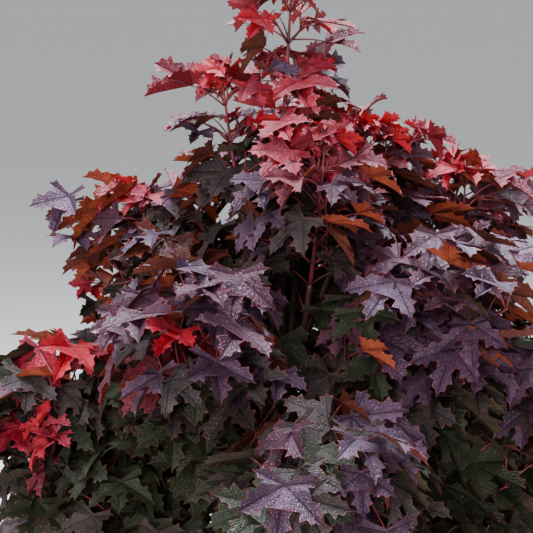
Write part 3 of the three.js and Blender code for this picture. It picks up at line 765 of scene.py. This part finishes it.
BLADE_MIDDLE = 0.42  # as a share of the leaf's length
LOBE_MIDDLE = 0.55
SIDE_TIP = (0.6, 0.7)  # where the side lobes end: along the leaf and across, as shares of its length
BOX_ROOM = 0.008  # how far a leaf may stand out of the solid plant's box
LEAF_ROOM = 0.006
TIP_PAST = 0.035  # how far the tips and the middle of a leaf may reach in among the next mass's
MIDDLE_PAST = 0.02
BLADE_THICKNESS = 0.006  # as a share of the leaf's length

# The lobes: the angle from the midrib, the length as a share of the leaf's, and how full its edge is.
LOBES = [(0, 1.0, "long"), (50, 0.93, "long"), (-50, 0.93, "long"), (106, 0.6, "short"), (-106, 0.6, "short")]
# The bays between the lobes: the angle and the distance from the stalk's top. The last is at the stalk.
BAYS = [(25, 0.49), (79, 0.47), (180, 0.05)]
BAY_REACH = 80  # the widest angle between a lobe and the bay beside it
# The edge of half a lobe, from its waist over the long-pointed teeth to its tip: along and out from its vein,
# as shares of the lobe's length.
EDGES = {
    "long": [(0.58, 0.15), (0.745, 0.27), (0.765, 0.14), (0.885, 0.14), (0.895, 0.05)],
    "short": [(0.6, 0.16), (0.8, 0.22), (0.83, 0.07)],
}
VEIN_STEPS = {"long": (0.5, 0.79), "short": (0.5,)}


def under_side(face):
    """The face seen from the other side, from the same first corner, so that both sides split alike."""
    return [face[0], *face[:0:-1]]


def leaf_shape():
    """One flat leaf. Each face is a list of (corner, how far along the lobe's vein, how far out from it)."""
    corners = [(0.0, 0.0)]
    is_edge = [0.0]
    bays = {}

    def add_corner(turn, along, out, on_edge):
        cos, sin = math.cos(math.radians(turn)), math.sin(math.radians(turn))
        corners.append((along * cos - out * sin, along * sin + out * cos))
        is_edge.append(on_edge)
        return len(corners) - 1

    def bay_beside(turn, side):
        for angle, distance in BAYS:
            for signed in (angle, -angle):
                if 0 < (signed - turn) * side % 360 < BAY_REACH:
                    key = 180 if angle == 180 else signed
                    if key not in bays:
                        bays[key] = add_corner(signed, distance, 0.0, 1.0)
                    return bays[key]
        raise ValueError(turn)

    faces = []
    for turn, length, kind in LOBES:
        veins = [add_corner(turn, length * step, 0.0, 0.0) for step in VEIN_STEPS[kind]]
        tip = add_corner(turn, length, 0.0, 1.0)
        for side in (1, -1):
            edge = [add_corner(turn, length * along, side * length * out, 1.0) for along, out in EDGES[kind]]
            bay = bay_beside(turn, side)
            lower = veins[0]
            waist, tooth, valley, *tip_edge = edge
            half = [[lower, waist, bay, 0], [lower, tooth, waist]]
            if kind == "long":
                upper = veins[1]
                second_tooth, second_valley = tip_edge
                half += [[lower, upper, valley, tooth], [upper, second_tooth, valley]]
                half += [[upper, tip, second_valley, second_tooth]]
            else:
                half += [[lower, tip, valley, tooth]]
            for face in half:
                around = face if side == 1 else under_side(face)
                angle = math.radians(turn)
                marked = []
                for corner in around:
                    x, y = corners[corner]
                    along = (x * math.cos(angle) + y * math.sin(angle)) / length
                    out = abs(y * math.cos(angle) - x * math.sin(angle)) / length
                    marked.append((corner, along, out))
                faces.append(marked)
    return np.array(corners), np.array(is_edge), faces


leaf_corners, leaf_edge, upper_faces = leaf_shape()
corner_count = len(leaf_corners)
lobe_turns = np.radians([turn for turn, _, _ in LOBES])
corner_reach = np.hypot(leaf_corners[:, 0], leaf_corners[:, 1])
corner_angle = np.arctan2(leaf_corners[:, 1], leaf_corners[:, 0])
off_vein = np.abs((corner_angle[:, None] - lobe_turns + math.pi) % math.tau - math.pi)
nearest_lobe = off_vein.argmin(axis=1)
vein_distance = corner_reach * np.sin(np.minimum(off_vein.min(axis=1), math.pi / 2))
# The underside shares the leaf's edge and has its own corners along the veins.
inner = np.nonzero(leaf_edge == 0)[0]
under_corner = np.arange(corner_count)
under_corner[inner] = corner_count + np.arange(len(inner))
leaf_faces = [[corner for corner, _, _ in face] for face in upper_faces]
leaf_faces += [[int(under_corner[corner]) for corner, _, _ in under_side(face)] for face in upper_faces]
leaf_marks = [(along, out) for face in upper_faces for _, along, out in face]
leaf_marks += [(along, out) for face in upper_faces for _, along, out in under_side(face)]


# Where the photo shows a cluster of newly opened leaves, in its pixels, with how many shoots end there.
FLUSHES = [
    (215, 55, 2), (205, 85, 1), (245, 85, 1), (318, 122, 3), (342, 76, 1), (366, 112, 2),
    (430, 135, 2), (455, 172, 1), (478, 145, 1), (122, 190, 2), (85, 320, 2), (195, 342, 2), (66, 412, 1),
]
BACK_FLUSH_CHANCE = 0.14  # of a shoot on the side that the photo doesn't show
FRONT_DEPTH = 0.1  # shoots that end further back than this don't show in the photo
# The upright stems that the photo shows between their leaves, and from which share of their way to which.
SHOWN_STEMS = [
    ("front_leader", "leafy_end", 0.0, 1.0), ("front_leader", "stem", 0.0, 0.85),
    ("left_leader", "stem", 0.3, 0.85), ("leader", "stem", 0.35, 0.92),
]
# How near a leaf before them may come in the picture: to such a stem, and to a clustered shoot's tip.
STEM_PIXELS = 11
TUFT_PIXELS = 24
LEAST_BEFORE = 0.012  # how much nearer to the camera a leaf has to be to hide something
COARSE_SHOOT_PIXELS = 12  # how much further from a cluster a coarse shoot's end counts than a fine one's
DEPTH_PIXELS = 60  # and for each metre that a shoot ends further back
camera_turn = np.array(camera.rotation_euler.to_matrix())
photo_scale = camera_data.lens / camera_data.sensor_width * PHOTO_PIXELS


def photo_places(places):
    """For each place, the pixel where the photo's camera sees it, and how far it is from the camera."""
    sight = (np.array(places) - np.array(camera_place)) @ camera_turn
    far = -sight[:, 2]
    across = PHOTO_PIXELS / 2 + sight[:, 0] * photo_scale / far
    down = PHOTO_PIXELS / 2 - sight[:, 1] * photo_scale / far
    return np.stack([across, down, far], axis=1)


def hides(leaf, shown):
    """Whether the leaf stands before a shown place: across, down, how far, and the room to leave round it."""
    joint, tips = leaf["joint"], leaf["tips"]
    seen = photo_places([joint, leaf["middle"], *tips, *[joint.lerp(tip, LOBE_MIDDLE) for tip in tips]])
    apart = np.hypot(seen[:, None, 0] - shown[:, 0], seen[:, None, 1] - shown[:, 1])
    return ((apart < shown[:, 3]) & (seen[:, None, 2] < shown[:, 2] - LEAST_BEFORE)).any()


def lay_leaf(leaf, swing, twist, reach):
    """Bends the blade over to the light, its tip out of the crown and down."""
    size_chance, droop_chance, roll_chance, turn_chance = leaf["chance"]
    mass = leaf["axis"]["mass"]
    sizes = TUFT_SIZES if leaf["tuft"] else GROWN_SIZES
    size = sizes[min(leaf["pair"], len(sizes) - 1)] * (LEAST_SIZE + SIZE_CHANCE * size_chance)
    size *= mix(LEAST_LEAF, 1, mass["spread"])
    turned = leaf["across"] @ Matrix.Rotation(math.radians(-swing), 3, leaf["along"])
    slant = TUFT_SLANT if leaf["tuft"] else STALK_SLANT
    rise = (leaf["along"] * slant + turned + UP * STALK_LIFT).normalized()
    joint = leaf["place"] + rise * STALK_LENGTH * size * reach
    outward = Vector((joint.x, joint.y, 0)).normalized()
    level = (Vector((rise.x, rise.y, 0)) + outward * OUTWARD_TURN).normalized()
    level.rotate(Matrix.Rotation(math.radians(twist + MOST_TURN * (2 * turn_chance - 1)), 3, "Z"))
    high = share_of(joint.z, LOW_LEAVES, HIGH_LEAVES)
    droops = TUFT_DROOPS if leaf["tuft"] else (mix(*LEAST_DROOPS, high), mix(*MOST_DROOPS, high))
    droop = math.radians(mix(*droops, droop_chance))
    forward = level * math.cos(droop) - UP * math.sin(droop)
    normal = level * math.sin(droop) + UP * math.cos(droop)
    normal.rotate(Matrix.Rotation(math.radians(MOST_ROLL * (2 * roll_chance - 1)), 3, forward))
    length = LEAF_LENGTH * size
    across = forward.cross(normal) * length * SIDE_TIP[1]
    spread = joint + forward * length * SIDE_TIP[0]
    leaf.update(joint=joint, forward=forward, normal=normal, rise=rise, size=length, high=high)
    leaf["middle"] = joint + forward * length * BLADE_MIDDLE
    leaf["tips"] = (joint + forward * length, spread + across, spread - across)


box_low = Vector(cad_box[0]) - Vector((BOX_ROOM,) * 3)
box_high = Vector(cad_box[1]) + Vector((BOX_ROOM,) * 3)


def fits(leaf, middles):
    """Whether the leaf keeps to its space, clear of limbs and leaves, and hides no shown stem or tip."""
    mass, middle = leaf["axis"]["mass"], leaf["middle"]
    gap = LEAF_GAP * min(1.0, leaf["size"] / LEAF_LENGTH)
    if (((middles - np.array(middle)) ** 2).sum(axis=1) < gap**2).any():
        return False
    for tip in leaf["tips"]:
        if any(not low < value < high for low, value, high in zip(box_low, tip, box_high)):
            return False
        if not has_room(mass, tip, TIP_PAST):
            return False
    if not has_room(mass, middle, MIDDLE_PAST) or not is_off_wood(mass, middle, LEAF_ROOM):
        return False
    return not hides(leaf, shown_stems if leaf["tuft"] else shown_places)


# Every shoot, and then the leaves: those of the newly opened clusters first, so that nothing hides them.
growth, axes = [], []
for i, mass in enumerate(masses):
    random = seeded(FIRST_SEED + i)
    coarse = grow_twigs(mass, random)
    places = [leaf for axis in coarse for leaf in leaf_places(axis, random)]
    bearers = [] if mass["name"] in UPRIGHT_SHOOTS else coarse
    fine = [axis for bearer in bearers for axis in grow_fine_twigs(bearer, random)]
    places += [leaf for axis in fine for leaf in leaf_places(axis, random)]
    limb_end = new_axis(mass, mass["leafy_end"], 0, 0)
    limb_end.update(tone=0.5, flush=False)
    places += leaf_places(limb_end, random)
    for axis in coarse + fine:
        axis["tone"] = next(random)
        is_behind = axis["points"][2].y > FRONT_DEPTH
        axis["flush"] = mass["name"] == "leader" or (is_behind and next(random) < BACK_FLUSH_CHANCE)
    growth += places
    axes += coarse + fine
shown_stems = []
for name, part, first, last in SHOWN_STEMS:
    stem = next(mass[part] for mass in masses if mass["name"] == name)
    shares = [mix(first, last, i / CURVE_STEPS) for i in range(CURVE_STEPS + 1)]
    places = photo_places([curve_at(stem, share) for share in shares])
    shown_stems += [(*place, STEM_PIXELS) for place in places]
tips = photo_places([axis["points"][2] for axis in axes])
shown_tips = []
for spot_x, spot_y, count in FLUSHES:
    off_spot = np.hypot(tips[:, 0] - spot_x, tips[:, 1] - spot_y)
    off_spot += DEPTH_PIXELS * (tips[:, 2] - CAMERA_DISTANCE)
    off_spot += [0 if axis["order"] == 2 else COARSE_SHOOT_PIXELS for axis in axes]
    nearest = [i for i in off_spot.argsort() if tips[i, 2] < CAMERA_DISTANCE + FRONT_DEPTH]
    for i in [i for i in nearest if not axes[i]["flush"]][:count]:
        axes[i]["flush"] = True
        shown_tips.append((*tips[i], TUFT_PIXELS))
shown_places = np.array(shown_stems + shown_tips)
shown_stems = np.array(shown_stems)
# A tuft takes the place of the pair at its shoot's tip.
growth = [leaf for leaf in growth if leaf["pair"] or not leaf["axis"]["flush"]]
tuft_random = seeded(FIRST_SEED - 1)
for axis in axes:
    if axis["flush"]:
        growth += tuft_places(axis, tuft_random)
# How a leaf may be laid, the first way that fits: its stalk at full length or shorter, its blade twisted on
# the stalk, and the stalk swung round the shoot.
REACHES = (1, 0.75, 0.5)
TWISTS = (0, 45, -45)
SWINGS = (0, 35, -35, 70, -70, 105, -105)


def laying_turn(leaf):
    axis = leaf["axis"]
    return not leaf["tuft"], not axis["flush"], axis["order"] == 2, leaf["pair"]


leaves = []
middles = np.zeros((len(growth), 3))
for leaf in sorted(growth, key=laying_turn):
    for reach, twist, swing in product(REACHES, TWISTS, SWINGS):
        lay_leaf(leaf, swing, twist, reach)
        if fits(leaf, middles[:len(leaves)]):
            middles[len(leaves)] = leaf["middle"]
            leaves.append(leaf)
            break


# Shoots and stalks
# This year's shoots and the leaf stalks: smooth, thin and dark red-purple, each tapering to its tip. The
# stalks are a hand's breadth long and bend over under the weight of their blades.
SHOOT_SIDES = 7
SHOOT_STEP = 0.016
SPECK_COLOR = (0.26, 0.12, 0.1)
STALK_SIDES = 4
STALK_RADIUS = 0.0011
STALK_STEPS = 4
STALK_ENDS = (1.25, 0.75)  # its thickness at its foot and at its blade, against that of its middle
STALK_BEND = (0.7, 0.1)  # where it bends over: out along its rise and up, as shares of its length
STALK_SINK = 0.004  # how far it runs into its blade


def tube(places, radii, sides):
    """Rings of corners along some places, and the faces between them and over both ends."""
    ring_frames = limb_frames(places)
    corners, faces = [], []
    for (middle, across, over), radius in zip(ring_frames, radii):
        for k in range(sides):
            angle = math.tau * k / sides
            corners.append(middle + (across * math.cos(angle) + over * math.sin(angle)) * radius)
    for i in range(len(places) - 1):
        for k in range(sides):
            a, b = i * sides + k, i * sides + (k + 1) % sides
            faces.append((a, b, b + sides, a + sides))
    last = (len(places) - 1) * sides
    faces.append(tuple(range(sides - 1, -1, -1)))
    faces.append(tuple(range(last, last + sides)))
    return corners, faces


def join_tubes(name, tubes):
    corners, faces = [], []
    for tube_corners, tube_faces in tubes:
        start = len(corners)
        corners += tube_corners
        faces += [tuple(start + corner for corner in face) for face in tube_faces]
    mesh = bpy.data.meshes.new(name)
    mesh.from_pydata(corners, [], faces)
    mesh.shade_smooth()
    return mesh


def shoot_tube(axis):
    steps = max(3, math.ceil(axis["length"] / SHOOT_STEP))
    radii = [mix(axis["radius"], TIP_RADIUS, i / steps) for i in range(steps + 1)]
    return tube(curve_places(axis["points"], steps), radii, SHOOT_SIDES)


def stalk_tube(leaf):
    """From inside its twig, up and out, and over into the blade's midrib."""
    joint = leaf["joint"]
    reach = (joint - leaf["place"]).length
    out, up = STALK_BEND
    bend = leaf["place"] + leaf["rise"] * reach * out + UP * reach * up
    points = (leaf["place"], bend, joint + leaf["forward"] * STALK_SINK)
    radii = [STALK_RADIUS * mix(*STALK_ENDS, i / STALK_STEPS) for i in range(STALK_STEPS + 1)]
    return tube(curve_places(points, STALK_STEPS), radii, STALK_SIDES)


def shoot_material(name, deep, bright, roughness):
    material, tree, shader = new_material(name, deep, roughness, 0.35)
    place = object_place(tree)
    specks = noise_pattern(tree, place, 900.0, 2.0)
    color = tone_mix(tree, ramp(tree, noise_pattern(tree, place, 26.0, 3.0), 0.38, 0.66), deep, bright)
    color = tone_mix(tree, ramp(tree, specks, 0.62, 0.8), color, SPECK_COLOR)
    give_surface(tree, shader, color, specks, 0.3, 0.0003)
    return material


shoot_skin = shoot_material("shoot_skin", (0.08, 0.014, 0.02), (0.21, 0.028, 0.04), 0.42)
stalk_skin = shoot_material("stalk_skin", (0.08, 0.012, 0.018), (0.2, 0.026, 0.034), 0.45)
shoot_mesh = join_tubes("shoots", [shoot_tube(axis) for axis in axes])
stalk_mesh = join_tubes("leaf_stalks", [stalk_tube(leaf) for leaf in leaves])
show_piece("shoots", shoot_mesh, [shoot_skin])
show_piece("leaf_stalks", stalk_mesh, [stalk_skin])


# Blades
# The leaf blades themselves, one joined piece for each finish. Their colours are dealt out by spray: young
# sprays are crimson, grown ones plum and violet with a lavender bloom, and those in the shade bronze-green.
# Their lighter patches and puckers are partly a painted sheen, the darker skins deep and low in the crown
# partly painted shade, and the undersides' reds and oranges partly a painted glow of light through the leaf.
VEIN_COUNT = 11.0  # side veins along a lobe
VEIN_SLANT = 1.1
PUCKER_COUNT = 9.0  # rows of puckers across a lobe as wide as it is long
MARGIN_START = 0.945  # how far from a leaf's middle its margin begins, where the edge itself is at 1
MARGIN_END = 0.985
BLOOM_TINT = (0.88, 0.8, 1.0, 1)
UPPER_BUMP = (0.62, 0.0013)  # the strength of the bump, and its height in metres
UNDER_BUMP = (0.45, 0.0013)


def blade_skin(name, colors, roughness, gloss, bump):
    """A leaf's skin: puckers between fine veins, creases along the main ones, and a coloured margin."""
    deep, light, vein, margin = [tuple(part / 1000 for part in color) for color in colors]
    material, tree, shader = new_material(name, deep, roughness, gloss)
    shader.inputs["Specular Tint"].default_value = BLOOM_TINT
    lobe_map = add_node(tree, "ShaderNodeUVMap", {}, uv_map="lobe").outputs[0]
    lobe = add_node(tree, "ShaderNodeSeparateXYZ", {"Vector": lobe_map})
    along, out = lobe.outputs["X"], lobe.outputs["Y"]

    def times(value, factor):
        return math_node(tree, "MULTIPLY", value, factor)

    def plus(value, other):
        return math_node(tree, "ADD", value, other)

    def minus(value, other):
        return math_node(tree, "SUBTRACT", value, other)

    # Where a point lies among the side veins, which leave the main vein at a slant, and on which vein.
    veins_along = times(minus(along, times(out, VEIN_SLANT)), VEIN_COUNT)
    off_middle = math_node(tree, "ABSOLUTE", minus(math_node(tree, "FRACT", veins_along), 0.5))
    side_vein = ramp(tree, off_middle, 0.36, 0.49)
    main_vein = minus(1.0, ramp(tree, out, 0.006, 0.024))
    place = object_place(tree)
    patches = noise_pattern(tree, place, 26.0, 3.0)
    wrinkles = noise_pattern(tree, place, 120.0, 2.0)
    cell_place = {"X": veins_along, "Y": times(out, PUCKER_COUNT), "Z": times(patches, 5.0)}
    cell_place = add_node(tree, "ShaderNodeCombineXYZ", cell_place).outputs[0]
    cells = cell_pattern(tree, cell_place, 1.6, feature="DISTANCE_TO_EDGE")
    bulge = ramp(tree, cells, 0.0, 0.3)
    crease = minus(1.0, ramp(tree, cells, 0.03, 0.14))
    is_vein = math_node(tree, "MAXIMUM", times(crease, 0.4), main_vein)
    is_vein = math_node(tree, "MAXIMUM", times(side_vein, 0.6), is_vein)

    # Deep to light by chance patches, partly uneven tone and partly a painted sheen, and lighter on the
    # raised puckers, a painted highlight.
    tone = plus(times(patches, 0.9), times(bulge, 0.22))
    color = tone_mix(tree, ramp(tree, tone, 0.4, 0.76), deep, light)
    color = tone_mix(tree, times(is_vein, 0.75), color, vein)
    edge = add_node(tree, "ShaderNodeAttribute", {}, attribute_name="edge").outputs["Fac"]
    color = tone_mix(tree, ramp(tree, edge, MARGIN_START, MARGIN_END), color, margin)
    height = plus(plus(bulge, times(wrinkles, 1.4)), times(patches, 5.0))
    give_surface(tree, shader, color, minus(height, times(is_vein, 0.9)), *bump)
    rough = plus(plus(roughness - 0.07, times(wrinkles, 0.2)), times(is_vein, 0.4))
    tree.links.new(rough, shader.inputs["Roughness"])
    return material


# Each skin: its deep and light colour, the light one partly a painted sheen, its veins' and its margin's,
# all in thousandths, and then its roughness and its gloss.
UPPER_SKINS = {
    "scarlet": ([(340, 1, 8), (600, 6, 26), (120, 1, 6), (700, 50, 90)], 0.26, 0.5),
    "crimson": ([(190, 2, 10), (380, 7, 26), (55, 1, 5), (550, 35, 65)], 0.26, 0.52),
    "wine": ([(100, 6, 13), (210, 22, 34), (30, 2, 5), (440, 30, 50)], 0.29, 0.46),
    "plum": ([(42, 10, 21), (94, 28, 51), (18, 3, 8), (300, 30, 45)], 0.31, 0.44),
    "violet": ([(40, 16, 34), (112, 52, 96), (16, 5, 14), (240, 36, 52)], 0.31, 0.46),
    "slate": ([(28, 20, 18), (62, 45, 40), (14, 8, 9), (200, 35, 30)], 0.36, 0.32),
    "bottle": ([(17, 23, 12), (41, 53, 26), (28, 26, 12), (150, 45, 22)], 0.36, 0.3),
    "copper": ([(70, 13, 6), (160, 34, 12), (40, 6, 3), (360, 45, 22)], 0.36, 0.35),
}
# The undersides' bright reds and oranges, fire and rust above all, are partly their own colour and partly a
# painted glow of light shining through the leaf. Dusk, the darkest, is partly painted shade deep and low in
# the crown.
UNDER_SKINS = {
    "fire": ([(400, 7, 14), (560, 30, 34), (240, 5, 7), (550, 30, 35)], 0.5, 0.25),
    "garnet": ([(150, 10, 14), (270, 26, 34), (70, 4, 7), (320, 20, 26)], 0.5, 0.25),
    "rust": ([(200, 30, 12), (350, 75, 28), (110, 12, 7), (380, 40, 28)], 0.55, 0.25),
    "russet": ([(100, 22, 12), (170, 46, 25), (50, 10, 7), (230, 35, 22)], 0.58, 0.25),
    "dusk": ([(36, 26, 14), (64, 46, 25), (22, 13, 8), (120, 32, 20)], 0.6, 0.25),
}
skins = {}
for skin_name, values in UPPER_SKINS.items():
    skins[skin_name] = blade_skin(f"blade_{skin_name}", *values, UPPER_BUMP)
for skin_name, values in UNDER_SKINS.items():
    skins[skin_name] = blade_skin(f"underside_{skin_name}", *values, UNDER_BUMP)

# Where the photo shows copper-brown leaves, in its pixels.
COPPER_SPOTS = [(160, 250, 36), (100, 282, 26), (325, 288, 20), (150, 380, 24), (250, 355, 14)]
COPPER_CHANCE = 0.45
YOUTH_HEIGHTS = (1.36, 1.52)  # between these, leaves grow younger with height
YOUNG_HEIGHT = 1.3  # below this, only the leaves of a cluster are red
GREEN_HEIGHT = 1.22  # above this, leaves in the shade stay brown-purple
SHADE_HEIGHTS = (1.4, 1.0)  # between these, leaves are more in the shade the lower they are
CROWN_TOP = 1.75
LEAST_CROWN = 0.12  # the crown's radius at its top, and how much wider it is a metre below
CROWN_SPREAD = 0.38
# How much each of these adds to a leaf's shade, or takes from it. A leaf in more shade gets a darker skin:
# partly the colour that shade leaves grow, partly painted shade.
DEPTH_SHADE = 0.6
PAIR_SHADE = 0.06
LOW_SHADE = 0.5
LUCK_SHADES = (0.8, 0.5)  # high up, and low down
YOUTH_SHADE = -0.55
SPRAY_LUCK = 0.6  # the part of the luck that a spray's leaves share
# The shade up to which leaves have each skin. Beyond the last of them they are bottle green.
SHADE_LIMITS = {"crimson": -0.1, "wine": 0.12, "plum": 0.26, "violet": 0.46, "slate": 0.6}
BLADE_SEED = 5200
BLADE_CREASE = 24  # as on the pot, in degrees
SHAPE_CHANCES = 11  # how many chances make up a blade's shape
# How far chance may bend a blade in each way, at least and at most.
FOLDS = (0.3, 0.8)  # up on both sides of each vein
DROOPS = (-0.06, 0.14)  # down from the stalk outwards
HOOKS = (0.02, 0.14)  # down at the tips
WAVES = (0.02, 0.07)  # up and down round the edge, in three waves
LOBE_LIFTS = 0.24  # of each lobe on its own, from the least to the most
CUPS = (0.1, 0.7)  # up on both sides of the midrib, where these are the most low down and high up
TUFT_CUP = 0.3
FOLD_ARCH = 1.3  # how much flatter a fold gets away from its vein
# How much narrower a blade gets by its folds and its cup, and how much shorter by its droop.
FOLD_SQUEEZE = 0.8
CUP_SQUEEZE = 0.35
DROOP_SQUEEZE = 0.12


def deal_skins(leaf, chance):
    """The names of a leaf's upper and under skin: the deeper in the crown and the lower, the darker, partly
    as painted shade.
    """
    axis, pair, middle = leaf["axis"], leaf["pair"], leaf["middle"]
    youth = share_of(middle.z, *YOUTH_HEIGHTS)
    red_underside = "garnet" if youth > 0.2 else "rust"
    if leaf["tuft"]:
        return ("scarlet" if chance < 0.5 else "crimson"), ("fire" if chance < 0.7 else red_underside)
    if axis["flush"] and pair == 1:
        return ("crimson" if chance < 0.4 else "wine"), red_underside
    x, y, _ = photo_places([middle])[0]
    if chance < COPPER_CHANCE and middle.y < 0:
        if any(math.hypot(x - spot_x, y - spot_y) < size for spot_x, spot_y, size in COPPER_SPOTS):
            return "copper", "rust"
    crown_radius = LEAST_CROWN + CROWN_SPREAD * min(1.0, CROWN_TOP - middle.z)
    depth = 1 - min(1.0, math.hypot(middle.x, middle.y) / crown_radius)
    lowness = share_of(middle.z, *SHADE_HEIGHTS)
    luck = mix(chance, axis["tone"], SPRAY_LUCK) - 0.5
    shade = DEPTH_SHADE * depth + PAIR_SHADE * min(pair, 3) + LOW_SHADE * lowness
    shade += mix(*LUCK_SHADES, lowness) * luck + YOUTH_SHADE * youth
    if shade < SHADE_LIMITS["crimson"] and middle.z > YOUNG_HEIGHT:
        return "crimson", "fire"
    if shade < SHADE_LIMITS["wine"] and middle.z > YOUNG_HEIGHT:
        return "wine", ("fire" if youth > 0.3 and chance < 0.5 else red_underside)
    if shade < SHADE_LIMITS["plum"]:
        return "plum", (red_underside if chance < 0.5 else "russet")
    if shade < SHADE_LIMITS["violet"]:
        return "violet", "russet"
    if shade < SHADE_LIMITS["slate"] or middle.z > GREEN_HEIGHT:
        return "slate", ("russet" if chance < 0.3 else "dusk")
    return "bottle", "dusk"


def blade_corners(leaf, chance):
    """The leaf's corners in space: folded along its veins, each lobe drooping by its own amount.

    High up, and on tufts, the two halves of a blade are also folded up along the midrib.
    """
    cup = mix(*CUPS, leaf["high"]) * chance[10] ** 1.5 + (TUFT_CUP if leaf["tuft"] else 0.0)
    fold, droop = mix(*FOLDS, chance[0]), mix(*DROOPS, chance[1])
    hook, wave = mix(*HOOKS, chance[2]), mix(*WAVES, chance[3])
    lobe_lift = (chance[4:9] - 0.5) * LOBE_LIFTS
    height = fold * vein_distance * (1 - FOLD_ARCH * vein_distance)
    height = height - droop * corner_reach**2 - hook * corner_reach**4
    height = height + wave * np.sin(3 * corner_angle + math.tau * chance[9]) * corner_reach
    height = height + lobe_lift[nearest_lobe] * corner_reach**2 + cup * np.abs(leaf_corners[:, 1])
    squeeze = (1 - FOLD_SQUEEZE * fold * vein_distance) * (1 - CUP_SQUEEZE * cup**2)
    flat_x = leaf_corners[:, 0] * (1 - DROOP_SQUEEZE * droop)
    flat_y = leaf_corners[:, 1] * squeeze
    upper = np.stack([flat_x, flat_y, height], axis=1)
    under = upper[inner] - np.array([0, 0, BLADE_THICKNESS])
    left = leaf["normal"].cross(leaf["forward"])
    turn = np.array([leaf["forward"], left, leaf["normal"]])
    return np.vstack([upper, under]) @ turn * leaf["size"] + np.array(leaf["joint"])


def blade_piece(name, sprays, seed):
    random = np.random.default_rng(seed)
    corners, faces, slots, used = [], [], [], []
    for leaf in sprays:
        start = corner_total * len(corners)
        corners.append(blade_corners(leaf, random.random(SHAPE_CHANCES)))
        faces += [[start + corner for corner in face] for face in leaf_faces]
        for skin in deal_skins(leaf, random.random()):
            if skin not in used:
                used.append(skin)
            slots += [used.index(skin)] * len(upper_faces)
    mesh = bpy.data.meshes.new(name)
    mesh.from_pydata(np.vstack(corners).tolist(), [], faces)
    mesh.shade_smooth()
    mesh.polygons.foreach_set("material_index", slots)
    lobe_map = mesh.uv_layers.new(name="lobe")
    lobe_map.uv.foreach_set("vector", np.tile(np.array(leaf_marks, np.float32).ravel(), len(sprays)))
    edge = mesh.attributes.new("edge", "FLOAT", "POINT")
    on_edge = np.append(leaf_edge, leaf_edge[inner]).astype(np.float32)
    edge.data.foreach_set("value", np.tile(on_edge, len(sprays)))
    mesh.set_sharp_from_angle(angle=math.radians(BLADE_CREASE))
    return show_piece(name, mesh, [skins[skin] for skin in used])


corner_total = corner_count + len(inner)
for number, finish in enumerate(("red", "purple", "bronze")):
    sprays = [leaf for leaf in leaves if leaf["axis"]["mass"]["finish"] == finish]
    blades = blade_piece(f"{finish}_leaves", sprays, BLADE_SEED + number)
    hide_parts(*[f"foliage_{mass['name']}" for mass in masses if mass["finish"] == finish])


# Floor and light
# A plain pale floor and soft light: a wide overcast sky overhead and a weaker wide source in front.
FLOOR_SIZE = 600
# Each light: its place, the height of the place on the upright axis that it points at, its width, power
# and colour.
LIGHTS = {
    "sky": ((0.1, 1.1, 4.2), 1.0, 3.0, 740, (0.86, 0.93, 1.0)),
    "front": ((-2.6, -8.4, 4.0), 1.1, 6.0, 950, (1.0, 0.96, 0.93)),
}
ROOM_COLOR = (0.78, 0.8, 0.83, 1)
ROOM_STRENGTH = 0.72

bm = bmesh.new()
bmesh.ops.create_grid(bm, x_segments=1, y_segments=1, size=FLOOR_SIZE / 2)
floor_mesh = bpy.data.meshes.new("floor")
bm.to_mesh(floor_mesh)
bm.free()
floor_mesh.materials.append(new_material("floor", (0.8, 0.8, 0.79), 0.9, 0.2)[0])
floor = bpy.data.objects.new("floor", floor_mesh)
bpy.context.scene.collection.objects.link(floor)

for name, (place, lit_height, width, power, color) in LIGHTS.items():
    data = bpy.data.lights.new(name, "AREA")
    data.shape = "DISK"
    data.size = width
    data.energy = power
    data.color = color
    light = bpy.data.objects.new(name, data)
    light.location = place
    light.rotation_euler = (UP * lit_height - Vector(place)).to_track_quat("-Z", "Y").to_euler()
    light.visible_camera = False
    bpy.context.scene.collection.objects.link(light)
world = bpy.data.worlds.new("room")
world.use_nodes = True
backdrop = world.node_tree.nodes["Background"]
backdrop.inputs["Color"].default_value = ROOM_COLOR
backdrop.inputs["Strength"].default_value = ROOM_STRENGTH
bpy.context.scene.world = world
